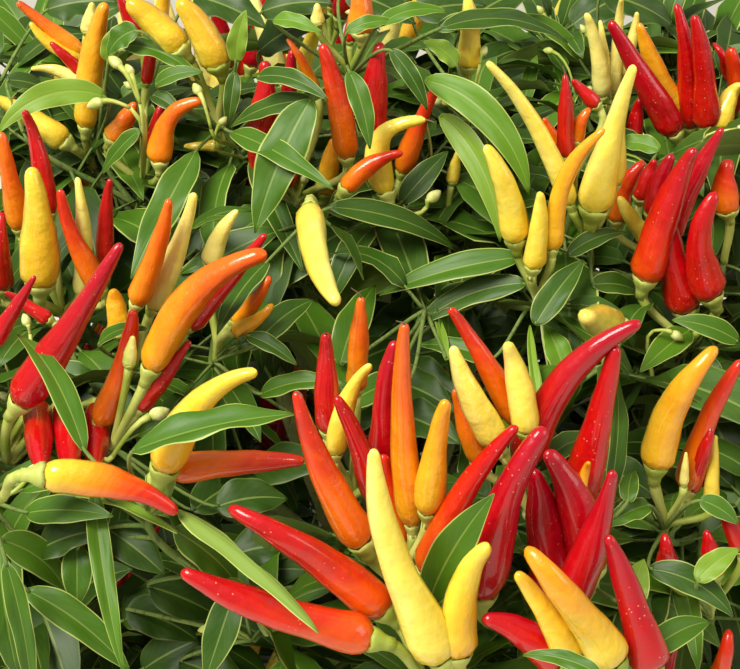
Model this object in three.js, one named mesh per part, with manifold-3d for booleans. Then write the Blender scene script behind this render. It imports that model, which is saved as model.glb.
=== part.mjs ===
// A bushy ornamental chilli pepper plant, rooted in the ground. Millimetres, +Z up.
// The origin is the middle of the main stem's flat cut at ground level, and -Y is the plant's best side.
//
// One short woody stem forks into three main boughs. Each runs up to the crown's middle, and side
// boughs leave it for the shoulder and for the skirt of the crown. Every bough ends in the socket of
// one mass of foliage, and the masses together make a broad, flat-topped, uneven mound.
import * as THREE from "three";
import { mergeVertices } from "three/addons/utils/BufferGeometryUtils.js";
import Module from "manifold-3d";

const wasm = await Module();
wasm.setup();

// Driving dimensions of the crown.
const CROWN_HALF_WIDTH = 250; // along X
const CROWN_HALF_DEPTH = 228; // along Y
const CROWN_TOP = 345;
const SKIRT_CLEARANCE = 32; // from the ground to the lowest leaf tips

// Driving dimensions of the wood.
const STEM_HEIGHT = 66; // from the cut to the fork
const STEM_RADIUS = 6.2;
const STEM_FLARE = 4.2; // how much the root flare adds at the ground
const FLARE_FADE = 9; // height over which the flare dies away
const FLARE_RIDGES = 5;
const STEM_LEAN = [5, 3]; // where the stem's head stands, off its foot
const LIMB_GAP = 0.35; // clearance between a limb and what it meets
const SOCKET_DEPTH = 14; // how far a bough goes into its mass

// Clearance between two neighbouring masses of foliage.
const MASS_GAP = 5;

// Fineness of the faceted solids.
const LIMB_SIDES = 8;
const LIMB_STEPS = 6;
const STEM_SIDES = 15;
const STEM_STEPS = 9;
const MASS_DETAIL = 3;

// The rings of masses, from the top down. Centres are shares of the crown's half width and depth;
// reach is each mass's own size outwards, round the crown and upwards.
const RINGS = [
  {
    name: "top",
    count: 3,
    turn: 90,
    centre: 0.22,
    height: CROWN_TOP - 74,
    reach: [92, 96, 78],
    bough: { start: 4.6, end: 3.1 },
  },
  {
    name: "shoulder",
    count: 7,
    turn: 115,
    centre: 0.58,
    height: 0.645 * CROWN_TOP,
    reach: [92, 92, 96],
    bough: { start: 3.5, end: 2.5 },
  },
  {
    name: "skirt",
    count: 8,
    turn: 104,
    centre: 0.7,
    height: 0.325 * CROWN_TOP,
    reach: [80, 88, 84],
    bough: { start: 3.2, end: 2.2 },
  },
];

const MATERIALS = {
  bark: new THREE.MeshStandardMaterial({ color: 0x8a7350, roughness: 0.9, metalness: 0 }),
  green_wood: new THREE.MeshStandardMaterial({ color: 0x6f8a3c, roughness: 0.7, metalness: 0 }),
  foliage: new THREE.MeshStandardMaterial({ color: 0x2f5a26, roughness: 0.55, metalness: 0 }),
};

// Repeatable random numbers from 0 to 1.
function seeded(seed) {
  let state = seed >>> 0;
  return () => {
    state = (state + 0x6d2b79f5) >>> 0;
    let t = Math.imul(state ^ (state >>> 15), 1 | state);
    t = (t + Math.imul(t ^ (t >>> 7), 61 | t)) ^ t;
    return ((t ^ (t >>> 14)) >>> 0) / 4294967296;
  };
}

const radians = THREE.MathUtils.degToRad;
const random = seeded(7);
const jitter = (size) => (2 * random() - 1) * size;

// A closed three.js geometry as a solid that can be cut.
function solidOf(geometry) {
  const bare = geometry.clone();
  bare.deleteAttribute("normal");
  bare.deleteAttribute("uv");
  const merged = mergeVertices(bare, 1e-3);
  return new wasm.Manifold(
    new wasm.Mesh({
      numProp: 3,
      vertProperties: new Float32Array(merged.attributes.position.array),
      triVerts: new Uint32Array(merged.index.array),
    }),
  );
}

// A solid's largest connected piece, as a three.js geometry.
function geometryOf(solid) {
  const largest = solid.decompose().sort((a, b) => b.volume() - a.volume())[0];
  const mesh = largest.getMesh();
  const geometry = new THREE.BufferGeometry();
  geometry.setAttribute("position", new THREE.BufferAttribute(mesh.vertProperties, 3));
  geometry.setIndex(new THREE.BufferAttribute(mesh.triVerts, 1));
  geometry.computeVertexNormals();
  return geometry;
}

// The masses of foliage, as centres, sizes and the phases of their unevenness.
function layOutMasses() {
  const masses = [];
  for (const ring of RINGS) {
    for (let i = 0; i < ring.count; i++) {
      const azimuth = radians(ring.turn + (360 / ring.count) * i + jitter(5));
      const share = ring.centre * (1 + jitter(0.06));
      masses.push({
        name: ring.name + "_" + (i + 1),
        ring,
        azimuth,
        centre: new THREE.Vector3(
          CROWN_HALF_WIDTH * share * Math.cos(azimuth),
          CROWN_HALF_DEPTH * share * Math.sin(azimuth),
          ring.height + jitter(7),
        ),
        reach: ring.reach.map((size) => size * (1 + jitter(0.05))),
        phases: Array.from({ length: 6 }, () => random() * 2 * Math.PI),
      });
    }
  }
  return masses;
}

// How far a mass reaches from its centre in a direction: its own lumpy ellipsoid, held back by the
// planes halfway to each neighbour, by the clearance above the ground and by the crown's outline.
function reachOf(mass, direction, masses) {
  const outwards = direction.x * Math.cos(mass.azimuth) + direction.y * Math.sin(mass.azimuth);
  const around = direction.y * Math.cos(mass.azimuth) - direction.x * Math.sin(mass.azimuth);
  const [p, q, r, s, t, u] = mass.phases;
  const uneven =
    1 +
    0.07 * Math.sin(3 * direction.x + 4 * direction.z + p) * Math.sin(4 * direction.y + q) +
    0.05 * Math.sin(6 * direction.y - 5 * direction.x + r) * Math.sin(5 * direction.z + s) +
    0.035 * Math.sin(9 * direction.x + t) * Math.sin(9 * direction.y + 7 * direction.z + u);
  let reach =
    uneven /
    Math.hypot(outwards / mass.reach[0], around / mass.reach[1], direction.z / mass.reach[2]);
  for (const other of masses) {
    if (other === mass) continue;
    const apart = other.centre.clone().sub(mass.centre);
    const distance = apart.length();
    const facing = direction.dot(apart) / distance;
    if (facing > 0) reach = Math.min(reach, (distance / 2 - MASS_GAP / 2) / facing);
  }
  if (direction.z < 0) reach = Math.min(reach, (mass.centre.z - SKIRT_CLEARANCE) / -direction.z);
  if (direction.z > 0) reach = Math.min(reach, (CROWN_TOP - mass.centre.z) / direction.z);
  reach = Math.min(reach, wallReach(mass.centre.x, direction.x, CROWN_HALF_WIDTH));
  return Math.min(reach, wallReach(mass.centre.y, direction.y, CROWN_HALF_DEPTH));
}

// Distance along a direction's share of one axis to the crown's outline on that axis.
function wallReach(start, step, half) {
  if (Math.abs(step) < 1e-9) return Infinity;
  return (Math.sign(step) * half - start) / step;
}

// A sphere's vertices drawn out or in to the mass's reach.
function massGeometry(mass, masses) {
  const geometry = new THREE.IcosahedronGeometry(1, MASS_DETAIL);
  const position = geometry.attributes.position;
  const direction = new THREE.Vector3();
  for (let i = 0; i < position.count; i++) {
    direction.fromBufferAttribute(position, i).normalize();
    const reach = reachOf(mass, direction, masses);
    direction.multiplyScalar(reach).add(mass.centre);
    position.setXYZ(i, direction.x, direction.y, direction.z);
  }
  return geometry;
}

// A cylinder bent along a path that lies in one upright plane, its radius set at each step and side.
// A clearance makes the limb that much fatter and longer at both ends, to cut its neighbours with.
function limbGeometry(path, azimuth, sides, steps, radiusAt, clearance) {
  const geometry = new THREE.CylinderGeometry(1, 1, 1, sides, steps);
  const position = geometry.attributes.position;
  const across = new THREE.Vector3(-Math.sin(azimuth), Math.cos(azimuth), 0);
  const vertex = new THREE.Vector3();
  for (let i = 0; i < position.count; i++) {
    vertex.fromBufferAttribute(position, i);
    const along = THREE.MathUtils.clamp(vertex.y + 0.5, 0, 1);
    const tangent = path.getTangent(along);
    const side = across.clone().cross(tangent).normalize();
    const radius = radiusAt(along, Math.atan2(vertex.x, vertex.z)) + clearance;
    const place = path.getPoint(along);
    if (along === 0 || along === 1) place.addScaledVector(tangent, (2 * along - 1) * clearance);
    place.addScaledVector(side, vertex.z * radius);
    place.addScaledVector(across, vertex.x * radius);
    position.setXYZ(i, place.x, place.y, place.z);
  }
  return geometry;
}

// The stem's middle line: straight up out of the ground, then a slight lean.
const stemHead = new THREE.Vector3(STEM_LEAN[0], STEM_LEAN[1], STEM_HEIGHT);
const stemPath = new THREE.QuadraticBezierCurve3(
  new THREE.Vector3(0, 0, 0),
  new THREE.Vector3(0, 0, STEM_HEIGHT / 2),
  stemHead,
);

function stemSolid(clearance) {
  const azimuth = Math.atan2(STEM_LEAN[1], STEM_LEAN[0]);
  const radiusAt = (along, angle) => {
    const fade = Math.exp((-along * STEM_HEIGHT) / FLARE_FADE);
    const ridges = 1 + 0.16 * fade * Math.cos(FLARE_RIDGES * angle);
    return (STEM_RADIUS * (1 - 0.1 * along) + STEM_FLARE * fade) * ridges;
  };
  return solidOf(limbGeometry(stemPath, azimuth, STEM_SIDES, STEM_STEPS, radiusAt, clearance));
}

// A bough's path: it leaves its parent steeply and arches out into its mass.
function boughPath(start, mass, rise) {
  const bend = start.clone().lerp(mass.centre, 0.42);
  bend.z = start.z + (mass.centre.z - start.z) * rise;
  return new THREE.QuadraticBezierCurve3(start, bend, mass.centre.clone());
}

// The share of a path at which it has gone a socket's depth into its mass.
function shareIntoMass(path, mass, masses) {
  const length = path.getLength();
  for (let share = 0; share < 1; share += 0.005) {
    const inwards = path.getPoint(share).sub(mass.centre);
    const distance = inwards.length();
    if (distance < reachOf(mass, inwards.normalize(), masses)) {
      return Math.min(0.98, share + SOCKET_DEPTH / length);
    }
  }
  return 0.98;
}

// The stretch of a quadratic curve from its start to a share of it.
function firstPart(path, share) {
  const bend = path.v0.clone().lerp(path.v1, share);
  return new THREE.QuadraticBezierCurve3(path.v0.clone(), bend, path.getPoint(share));
}

function boughSolid(bough, clearance) {
  const { start, end } = bough.mass.ring.bough;
  const radiusAt = (along) => start + (end - start) * along;
  const azimuth = Math.atan2(bough.path.v2.y - bough.path.v0.y, bough.path.v2.x - bough.path.v0.x);
  return solidOf(limbGeometry(bough.path, azimuth, LIMB_SIDES, LIMB_STEPS, radiusAt, clearance));
}

// Each bough with its parent: the top boughs leave the stem's head, the rest the nearest top bough.
function layOutBoughs(masses) {
  const boughs = [];
  for (const mass of masses.filter((m) => m.ring.name === "top")) {
    const start = stemHead.clone();
    start.x += 2.5 * Math.cos(mass.azimuth);
    start.y += 2.5 * Math.sin(mass.azimuth);
    start.z -= 3;
    const whole = boughPath(start, mass, 0.3);
    const path = firstPart(whole, shareIntoMass(whole, mass, masses));
    boughs.push({ name: "bough_" + mass.name, mass, path });
  }
  const mains = boughs.slice();
  const taken = new Map(mains.map((main) => [main, 0]));
  for (const mass of masses.filter((m) => m.ring.name !== "top")) {
    const nearness = (main) => Math.cos(main.mass.azimuth - mass.azimuth);
    const parent = mains.slice().sort((a, b) => nearness(b) - nearness(a))[0];
    const order = taken.get(parent);
    taken.set(parent, order + 1);
    const low = mass.ring.name === "skirt";
    const start = parent.path.getPoint(low ? 0.07 + 0.055 * (order - 2) : 0.34 + 0.13 * order);
    const whole = boughPath(start, mass, low ? 0.12 : 0.42);
    const path = firstPart(whole, shareIntoMass(whole, mass, masses));
    boughs.push({ name: "bough_" + mass.name, mass, path });
  }
  return boughs;
}

function namedMesh(name, geometry, material) {
  const mesh = new THREE.Mesh(geometry, material);
  mesh.name = name;
  return mesh;
}

const plant = new THREE.Group();
plant.name = "chilli_pepper_plant";

const masses = layOutMasses();
const boughs = layOutBoughs(masses);

const stem = stemSolid(0);
plant.add(namedMesh("main_stem", geometryOf(stem), MATERIALS.bark));

// Each bough gives way to the stem and to the boughs that stand before it.
const cutters = [stemSolid(LIMB_GAP)];
for (const bough of boughs) {
  let solid = boughSolid(bough, 0);
  for (const cutter of cutters) solid = solid.subtract(cutter);
  cutters.push(boughSolid(bough, LIMB_GAP));
  plant.add(namedMesh(bough.name, geometryOf(solid), MATERIALS.green_wood));
}

// Each mass gives way to every limb that runs through or into it.
for (const mass of masses) {
  let solid = solidOf(massGeometry(mass, masses));
  for (const cutter of cutters) solid = solid.subtract(cutter);
  plant.add(namedMesh("foliage_" + mass.name, geometryOf(solid), MATERIALS.foliage));
}

export default plant;
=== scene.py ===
import math
from collections import namedtuple

import bpy
import numpy as np
from mathutils import Matrix, Vector
from mathutils.bvhtree import BVHTree
from mathutils.kdtree import KDTree


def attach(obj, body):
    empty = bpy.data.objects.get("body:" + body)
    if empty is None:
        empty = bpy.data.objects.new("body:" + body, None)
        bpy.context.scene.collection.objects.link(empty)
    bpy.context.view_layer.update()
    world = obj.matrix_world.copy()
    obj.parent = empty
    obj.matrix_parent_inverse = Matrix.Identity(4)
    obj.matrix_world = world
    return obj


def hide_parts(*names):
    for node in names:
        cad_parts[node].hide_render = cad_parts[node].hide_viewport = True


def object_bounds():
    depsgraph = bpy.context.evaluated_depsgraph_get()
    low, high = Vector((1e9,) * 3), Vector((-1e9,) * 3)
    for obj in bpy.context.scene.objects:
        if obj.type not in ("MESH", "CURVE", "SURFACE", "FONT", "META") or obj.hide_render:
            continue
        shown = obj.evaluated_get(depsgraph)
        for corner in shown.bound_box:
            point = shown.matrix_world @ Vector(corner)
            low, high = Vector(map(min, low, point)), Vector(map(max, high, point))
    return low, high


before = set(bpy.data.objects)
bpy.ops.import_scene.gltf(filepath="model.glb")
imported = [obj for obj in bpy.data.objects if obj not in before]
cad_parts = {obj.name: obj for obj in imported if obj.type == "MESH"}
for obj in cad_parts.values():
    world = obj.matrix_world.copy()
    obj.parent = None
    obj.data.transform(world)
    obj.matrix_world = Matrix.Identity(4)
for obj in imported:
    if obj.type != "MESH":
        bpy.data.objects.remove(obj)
solid_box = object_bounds()


# The camera stands in front of the plant and above it, close enough for the crown to fill the picture.
# Pods and leaves that the photograph shows clearly are placed by the pixels of their two ends.
PICTURE_WIDTH = 740
PICTURE_HEIGHT = 669
FOCAL_LENGTH = 1600  # pixels
SENSOR_WIDTH = 36  # millimetres
CAMERA_ELEVATION = math.radians(33)
CAMERA_DISTANCE = 0.54
CAMERA_AIM = np.array([0.0, -0.04, 0.235])

looking = np.array([0.0, math.cos(CAMERA_ELEVATION), -math.sin(CAMERA_ELEVATION)])
picture_right = np.array([1.0, 0.0, 0.0])
picture_up = np.cross(picture_right, looking)
eye = CAMERA_AIM - CAMERA_DISTANCE * looking

camera = bpy.data.objects.new("camera", bpy.data.cameras.new("camera"))
camera.data.sensor_width = SENSOR_WIDTH
camera.data.lens = FOCAL_LENGTH / PICTURE_WIDTH * SENSOR_WIDTH
camera.data.clip_start = 0.02
turned = Matrix((picture_right, picture_up, -looking)).transposed().to_4x4()
camera.matrix_world = Matrix.Translation(eye) @ turned
bpy.context.scene.collection.objects.link(camera)
bpy.context.scene.camera = camera
bpy.context.scene.view_settings.view_transform = "Standard"


def sight(pixel):
    """The line of sight through a pixel, as long as it takes to go one unit away from the camera's plane."""
    pixel = np.asarray(pixel, float)
    rightwards = (pixel[..., 0:1] - PICTURE_WIDTH / 2) / FOCAL_LENGTH
    upwards = (PICTURE_HEIGHT / 2 - pixel[..., 1:2]) / FOCAL_LENGTH
    return looking + rightwards * picture_right + upwards * picture_up


def in_picture(points):
    """Where points show: pixels from the left and from the top, and how far from the camera's plane."""
    offset = points - eye
    distance = offset @ looking
    across = PICTURE_WIDTH / 2 + FOCAL_LENGTH * (offset @ picture_right) / distance
    down = PICTURE_HEIGHT / 2 - FOCAL_LENGTH * (offset @ picture_up) / distance
    return across, down, distance


# Plain pale floor and soft studio light: a broad key lamp from the upper left, a weak one from the right.
FLOOR_SIZE = 6.0
LAMPS = {  # place, width and power
    "key_lamp": ((-0.8, -0.7, 1.8), 0.95, 57),
    "side_lamp": ((1.4, -0.5, 1.0), 0.9, 7),
}
LAMP_COLOUR = (1.0, 0.96, 0.87)
SKY_STRENGTH = 0.4


def colour(code):
    """A hexadecimal screen colour as the linear values that shaders take."""
    shares = [int(code[i : i + 2], 16) / 255 for i in (0, 2, 4)]
    return (*(s / 12.92 if s <= 0.04045 else ((s + 0.055) / 1.055) ** 2.4 for s in shares), 1.0)


class Wire:
    """A socket in a material's node tree. Arithmetic on wires adds the Math nodes that work it out."""

    def __init__(self, tree, socket=None):
        self.tree = tree
        self.socket = socket

    def node(self, kind, settings=None, sockets=None, output=0):
        """Adds a node of a kind, sets it up, feeds its sockets with values or wires, and gives one output.
        The setting named stops holds a ramp's positions and colours."""
        made = self.tree.nodes.new(kind)
        for name, value in (settings or {}).items():
            if name == "stops":
                while len(made.color_ramp.elements) < len(value):
                    made.color_ramp.elements.new(1.0)
                for element, (position, code) in zip(made.color_ramp.elements, value):
                    element.position = position
                    element.color = colour(code)
            elif name == "interpolation":
                made.color_ramp.interpolation = value
            else:
                setattr(made, name, value)
        for name, value in (sockets or {}).items():
            if isinstance(value, Wire):
                self.tree.links.new(value.socket, made.inputs[name])
            else:
                made.inputs[name].default_value = value
        return Wire(self.tree, made.outputs[output])

    def math(self, operation, *values):
        return self.node("ShaderNodeMath", {"operation": operation}, dict(enumerate(values)))

    def __add__(self, other):
        return self.math("ADD", self, other)

    __radd__ = __add__

    def __sub__(self, other):
        return self.math("SUBTRACT", self, other)

    def __rsub__(self, other):
        return self.math("SUBTRACT", other, self)

    def __mul__(self, other):
        return self.math("MULTIPLY", self, other)

    __rmul__ = __mul__

    def __truediv__(self, other):
        return self.math("DIVIDE", self, other)

    def part(self, axis):
        """The X, Y or Z part of a vector, by its number."""
        return self.node("ShaderNodeSeparateXYZ", None, {"Vector": self}, axis)

    def band(self, low, high):
        """Rises smoothly from 0 at low to 1 at high, or falls where low is the larger."""
        ends = (low, high, 0.0, 1.0) if low < high else (high, low, 1.0, 0.0)
        settings = {"interpolation_type": "SMOOTHSTEP"}
        return self.node("ShaderNodeMapRange", settings, {"Value": self, **dict(enumerate(ends, 1))})

    def mixed(self, first, second):
        """Two colours mixed by this wire, from the first at 0 to the second at 1."""
        return self.node("ShaderNodeMix", {"data_type": "RGBA"}, {0: self, 6: first, 7: second}, output=2)

    def noise(self, scale, detail=2.0, roughness=0.5):
        """Cloudy noise from 0 to 1 over this wire's places, with scale waves to a unit."""
        sockets = {"Vector": self, "Scale": scale, "Detail": detail, "Roughness": roughness}
        return self.node("ShaderNodeTexNoise", None, sockets)

    def bump(self, strength, depth):
        """The normals of a relief whose height is this wire times a depth."""
        return self.node("ShaderNodeBump", None, {"Strength": strength, "Distance": depth, "Height": self})


def new_finish(name, **constants):
    """A material with its shader's plain values set. Gives the material, its shader, and the place on the
    object as a wire."""
    material = bpy.data.materials.new(name)
    material.use_nodes = True
    shader = material.node_tree.nodes["Principled BSDF"]
    for socket, value in constants.items():
        shader.inputs[socket.replace("_", " ")].default_value = value
    return material, shader, Wire(material.node_tree).node("ShaderNodeTexCoord", output="Object")


def feed(shader, feeds):
    """Links wires to the sockets of a shader that they are named for."""
    for socket, wire in feeds.items():
        wire.tree.links.new(wire.socket, shader.inputs[socket])


floor_mesh = bpy.data.meshes.new("floor")
half = FLOOR_SIZE / 2
floor_corners = [(-half, -half, 0), (half, -half, 0), (half, half, 0), (-half, half, 0)]
floor_mesh.from_pydata(floor_corners, [], [(0, 1, 2, 3)])
floor = bpy.data.objects.new("floor", floor_mesh)
bpy.context.scene.collection.objects.link(floor)
floor_paint, floor_shader, where = new_finish("floor_paint", Roughness=0.9)
feed(floor_shader, {"Base Color": where.noise(3.0).mixed(colour("d6d3cb"), colour("dedbd4"))})
floor_mesh.materials.append(floor_paint)

for name, (place, width, power) in LAMPS.items():
    data = bpy.data.lights.new(name, "AREA")
    data.size = width
    data.energy = power
    data.color = LAMP_COLOUR
    lamp = bpy.data.objects.new(name, data)
    lamp.location = place
    lamp.rotation_euler = (Vector(CAMERA_AIM) - Vector(place)).to_track_quat("-Z", "Y").to_euler()
    bpy.context.scene.collection.objects.link(lamp)
world = bpy.data.worlds.new("studio")
world.use_nodes = True
world.node_tree.nodes["Background"].inputs["Color"].default_value = colour("fdf6e8")
world.node_tree.nodes["Background"].inputs["Strength"].default_value = SKY_STRENGTH
bpy.context.scene.world = world


# The main stem: one short woody stem, tan and finely fissured, thickest at its five-ridged root flare.
# It stands rooted in the ground, follows its solid's middle line and ends in the fork of the boughs.
STEM_RIDGES = 5
RIDGE_SHARE = 0.16  # of the radius at the ground
FLARE_FADE = 0.009
FISSURE_DEPTH = 0.0003
STEM_RINGS = 72
STEM_ROUND = 60
FOOT_BAND = 0.0005  # above the ground, where the foot's corners lie
HEAD_BAND = 0.0028  # below the top, where the head's corners lie


def unit(vectors):
    """Vectors at length 1."""
    return vectors / np.maximum(np.linalg.norm(vectors, axis=-1, keepdims=True), 1e-12)


def node_points(name):
    """The corners of a solid, as an array."""
    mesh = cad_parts[name].data
    points = np.empty(len(mesh.vertices) * 3, np.float32)
    mesh.vertices.foreach_get("co", points)
    return points.reshape(-1, 3).astype(float)


def skins(line, radius, across, around, tangent=None):
    """Rings round middle lines: point plus radius times (cosine, sine) in the plane square to the line.
    line is copies × along × 3, radius copies × along (× around), across a direction off each line."""
    if tangent is None:
        tangent = unit(np.gradient(line, axis=1))
    first = unit(across[:, None] - (across[:, None] * tangent).sum(-1, keepdims=True) * tangent)
    second = np.cross(tangent, first)
    angle = 2 * np.pi * np.arange(around) / around
    radius = radius if radius.ndim == 3 else radius[..., None]
    spoke = np.cos(angle)[:, None] * first[:, :, None] + np.sin(angle)[:, None] * second[:, :, None]
    return line[:, :, None] + radius[..., None] * spoke


def ring_piece(name, rings, finish, replaced=(), maps=None, sharp_columns=()):
    """Closed skins joined into one piece of the plant's one body and in place of the solids
    that it replaces. rings is copies × along × around × 3: neighbouring rings are joined by four-sided faces
    and each end is closed. The second half of the columns starts its faces a corner later, so that the two
    sides of a thin blade split along the same diagonals. maps holds pattern coordinates of every face's two
    columns. Lines along the sharp columns stay crisp, as on a leaf's rim."""
    copies, along, around = rings.shape[:3]
    index = np.arange(copies * along * around).reshape(copies, along, around)
    beside = np.roll(index, -1, axis=2)
    quads = np.stack([index[:, :-1], beside[:, :-1], beside[:, 1:], index[:, 1:]], axis=-1)
    quads[:, :, around // 2 :] = np.roll(quads[:, :, around // 2 :], -1, axis=-1)
    quads = quads.reshape(-1, 4)
    caps = np.concatenate([index[:, 0, ::-1], index[:, -1]])
    corners = np.concatenate([quads.ravel(), caps.ravel()])
    starts = np.concatenate([np.arange(len(quads)) * 4, quads.size + np.arange(len(caps)) * around])
    mesh = bpy.data.meshes.new(name)
    mesh.vertices.add(index.size)
    mesh.vertices.foreach_set("co", rings.astype(np.float32).ravel())
    mesh.loops.add(len(corners))
    mesh.loops.foreach_set("vertex_index", corners.astype(np.int32))
    mesh.polygons.add(len(starts))
    mesh.polygons.foreach_set("loop_start", starts.astype(np.int32))
    mesh.polygons.foreach_set("use_smooth", np.ones(len(starts), bool))
    mesh.update(calc_edges=True)
    if maps is not None:
        start, end = maps
        on_quads = np.stack([start[:, :-1], end[:, :-1], end[:, 1:], start[:, 1:]], axis=-2)
        on_quads[:, :, around // 2 :] = np.roll(on_quads[:, :, around // 2 :], -1, axis=-2)
        on_caps = np.concatenate([start[:, 0, ::-1], start[:, -1]])
        layer = mesh.uv_layers.new(name="OFBake")
        layer.data.foreach_set("uv", np.concatenate([on_quads.ravel(), on_caps.ravel()]).astype(np.float32))
    if sharp_columns:
        pairs = np.empty(len(mesh.edges) * 2, np.int32)
        mesh.edges.foreach_get("vertices", pairs)
        column = pairs.reshape(-1, 2) % around
        sharp = (column[:, 0] == column[:, 1]) & np.isin(column[:, 0], sharp_columns)
        mesh.attributes.new("sharp_edge", "BOOLEAN", "EDGE").data.foreach_set("value", sharp)
    mesh.materials.append(finish)
    piece = bpy.data.objects.new(name, mesh)
    bpy.context.scene.collection.objects.link(piece)
    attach(piece, "root")
    if replaced:
        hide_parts(*replaced)


def make_bark(name, low, high, fissure):
    """Bark: two wood colours in lengthwise streaks, dark in the fissures, dull, its fine grain in relief."""
    finish, shader, where = new_finish(name)
    drawn_out = where.node("ShaderNodeMapping", None, {"Vector": where, "Scale": (1.0, 1.0, 0.22)})
    streak = drawn_out.noise(900.0, 5.0, 0.6)
    patch = where.noise(90.0, 3.0)
    wood = patch.band(0.35, 0.65).mixed(colour(low), colour(high))
    feed(shader, {
        "Base Color": (streak.band(0.46, 0.36) * 0.75).mixed(wood, colour(fissure)),
        "Roughness": 0.65 + patch * 0.25,
        "Normal": streak.bump(0.6, 0.0004),
    })
    return finish


stem_corners = node_points("main_stem")
stem_height = stem_corners[:, 2].max()
foot_corners = stem_corners[stem_corners[:, 2] < FOOT_BAND, :2]
head_corners = stem_corners[stem_corners[:, 2] > stem_height - HEAD_BAND]
head = head_corners.mean(0)
foot_radius = np.linalg.norm(foot_corners, axis=1).max() / (1 + RIDGE_SHARE)
head_radius = np.linalg.norm(head_corners - head, axis=1).max()
height = np.linspace(0, 1, STEM_RINGS)[:, None]
stem_path = np.concatenate([height**2 * head[:2], height * head[2]], axis=1)
round_stem = 2 * np.pi * np.arange(STEM_ROUND) / STEM_ROUND
flare = np.exp(-height * stem_height / FLARE_FADE)
plain_radius = head_radius * (1.1 - 0.1 * height)
ridge = 1 + RIDGE_SHARE * flare * np.cos(STEM_RIDGES * round_stem)
wander = 2.5 * np.sin(14 * height) + 1.5 * np.sin(5 * height + 1)
fissures = np.abs(np.sin(8 * round_stem + wander)) ** 0.5 - 0.6 + 0.5 * np.sin(19 * round_stem - 2 * wander)
stem_skin = (plain_radius + (foot_radius - 1.1 * head_radius) * flare) * ridge + FISSURE_DEPTH * fissures
stem_rings = skins(stem_path[None], stem_skin[None], np.array([[1.0, 0.0, 0.0]]), STEM_ROUND)
stem_rings[:, :, :, 2] = np.maximum(stem_rings[:, :, :, 2], 0)
stem_bark = make_bark("stem_bark", "8d7650", "a39066", "4f3f28")
ring_piece("stem", stem_rings, stem_bark, ["main_stem"])


# The boughs: three main ones from the stem's head and a side bough for every other mass of foliage.
# Each is one limb of green wood, swollen a little at its leaf scars, and it ends inside its mass.
BOUGH_RINGS = 44
BOUGH_ROUND = 16
SCAR_SPACING = 0.019
SCAR_WIDTH = 0.25  # of a half wave between two scars
SCAR_SWELLING = 0.09
SCAR_TURN = 2.4  # from one scar to the next, radians
ROOT_OVERLAP = 0.05  # how far a bough's foot runs on into its parent, as a share of its length

mass_names = sorted(name.removeprefix("foliage_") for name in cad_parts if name.startswith("foliage_"))
mass_middle = {name: node_points("foliage_" + name).mean(0) for name in mass_names}
green_bark = make_bark("green_bark", "6f7d3c", "84864c", "4d5430")
bough_end = {}


def limb_of(name, toward):
    """A limb's middle line and radius as curves of the share of its length, by least squares on its
    corners: a parabola for each coordinate and a straight line for the radius. It ends at its corner
    nearest a point."""
    corners = node_points(name)
    far = corners[np.argmin(np.linalg.norm(corners - toward, axis=1))]
    near = corners[np.argmax(np.linalg.norm(corners - far, axis=1))]
    share = (corners - near) @ (far - near) / ((far - near) @ (far - near))
    line = np.polyfit(share, corners, 2)
    radius = np.polyfit(share, np.linalg.norm(corners - along_limb(line, share), axis=1), 1)
    return line, radius


def along_limb(line, share):
    """Points of a limb's parabola at shares of its length."""
    return np.stack([share**2, share, np.ones_like(share)], axis=1) @ line


for name in mass_names:
    line, radius = limb_of("bough_" + name, mass_middle[name])
    share = np.linspace(-ROOT_OVERLAP, 1, BOUGH_RINGS)
    path = along_limb(line, share)
    length = np.linalg.norm(np.diff(path, axis=0), axis=1).sum()
    turn = 2 * np.pi * np.arange(BOUGH_ROUND) / BOUGH_ROUND
    scar_number = share * length / SCAR_SPACING
    scar = np.exp(-((np.sin(np.pi * share * length / SCAR_SPACING) / SCAR_WIDTH) ** 2))[:, None]
    swell = 1 + SCAR_SWELLING * scar * (1 + np.cos(turn - SCAR_TURN * np.round(scar_number)[:, None]))
    skin = np.polyval(radius, share)[:, None] * swell * (1 + 0.035 * np.sin(5 * turn + 9 * share[:, None]))
    rings = skins(path[None], skin[None], np.array([[0.3, 0.2, 1.0]]), BOUGH_ROUND)
    ring_piece("limb_" + name, rings, green_bark, ["bough_" + name])
    bough_end[name] = (path[-1], unit(path[-1] - path[-2]))


# The pods that the photograph shows, truss by truss. Each stands on its own stalk, and the stalks of one
# truss leave the same fork of a shoot. A pod is given by how ripe it is, by the pixels of its calyx end and
# of its tip, by its greatest width in pixels, by how many pixels its middle bows to the right of that line,
# by how many pods stand before it, by its fullness, which is small for a cone and large where it keeps its
# girth for long, and by its lean: how much nearer to the camera it comes for what it rises in the picture.
Pod = namedtuple("Pod", "ripe base tip wide bow behind fullness lean", defaults=(0, 0, 1.9, 0.53))
CONE = 1.3
ROD = 2.6
AWAY = -1.6  # the lean of a hanging pod whose calyx points away from the camera
TOWARDS = 20.0  # the lean of a pod that points at the camera
RIPENESS = {  # at the calyx end and at the tip
    "green": (0.05, 0.09), "cream": (0.17, 0.20), "lemon": (0.26, 0.22), "yellow": (0.29, 0.26),
    "gold": (0.31, 0.35), "amber": (0.36, 0.42), "orange": (0.48, 0.57), "blush": (0.42, 0.60),
    "tipped": (0.28, 0.44), "dipped": (0.31, 0.76), "honey": (0.35, 0.28), "flame": (0.51, 0.71),
    "ruby": (0.59, 0.84), "berry": (0.63, 0.95), "red": (0.78, 0.86), "crimson": (0.83, 0.98),
}
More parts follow.
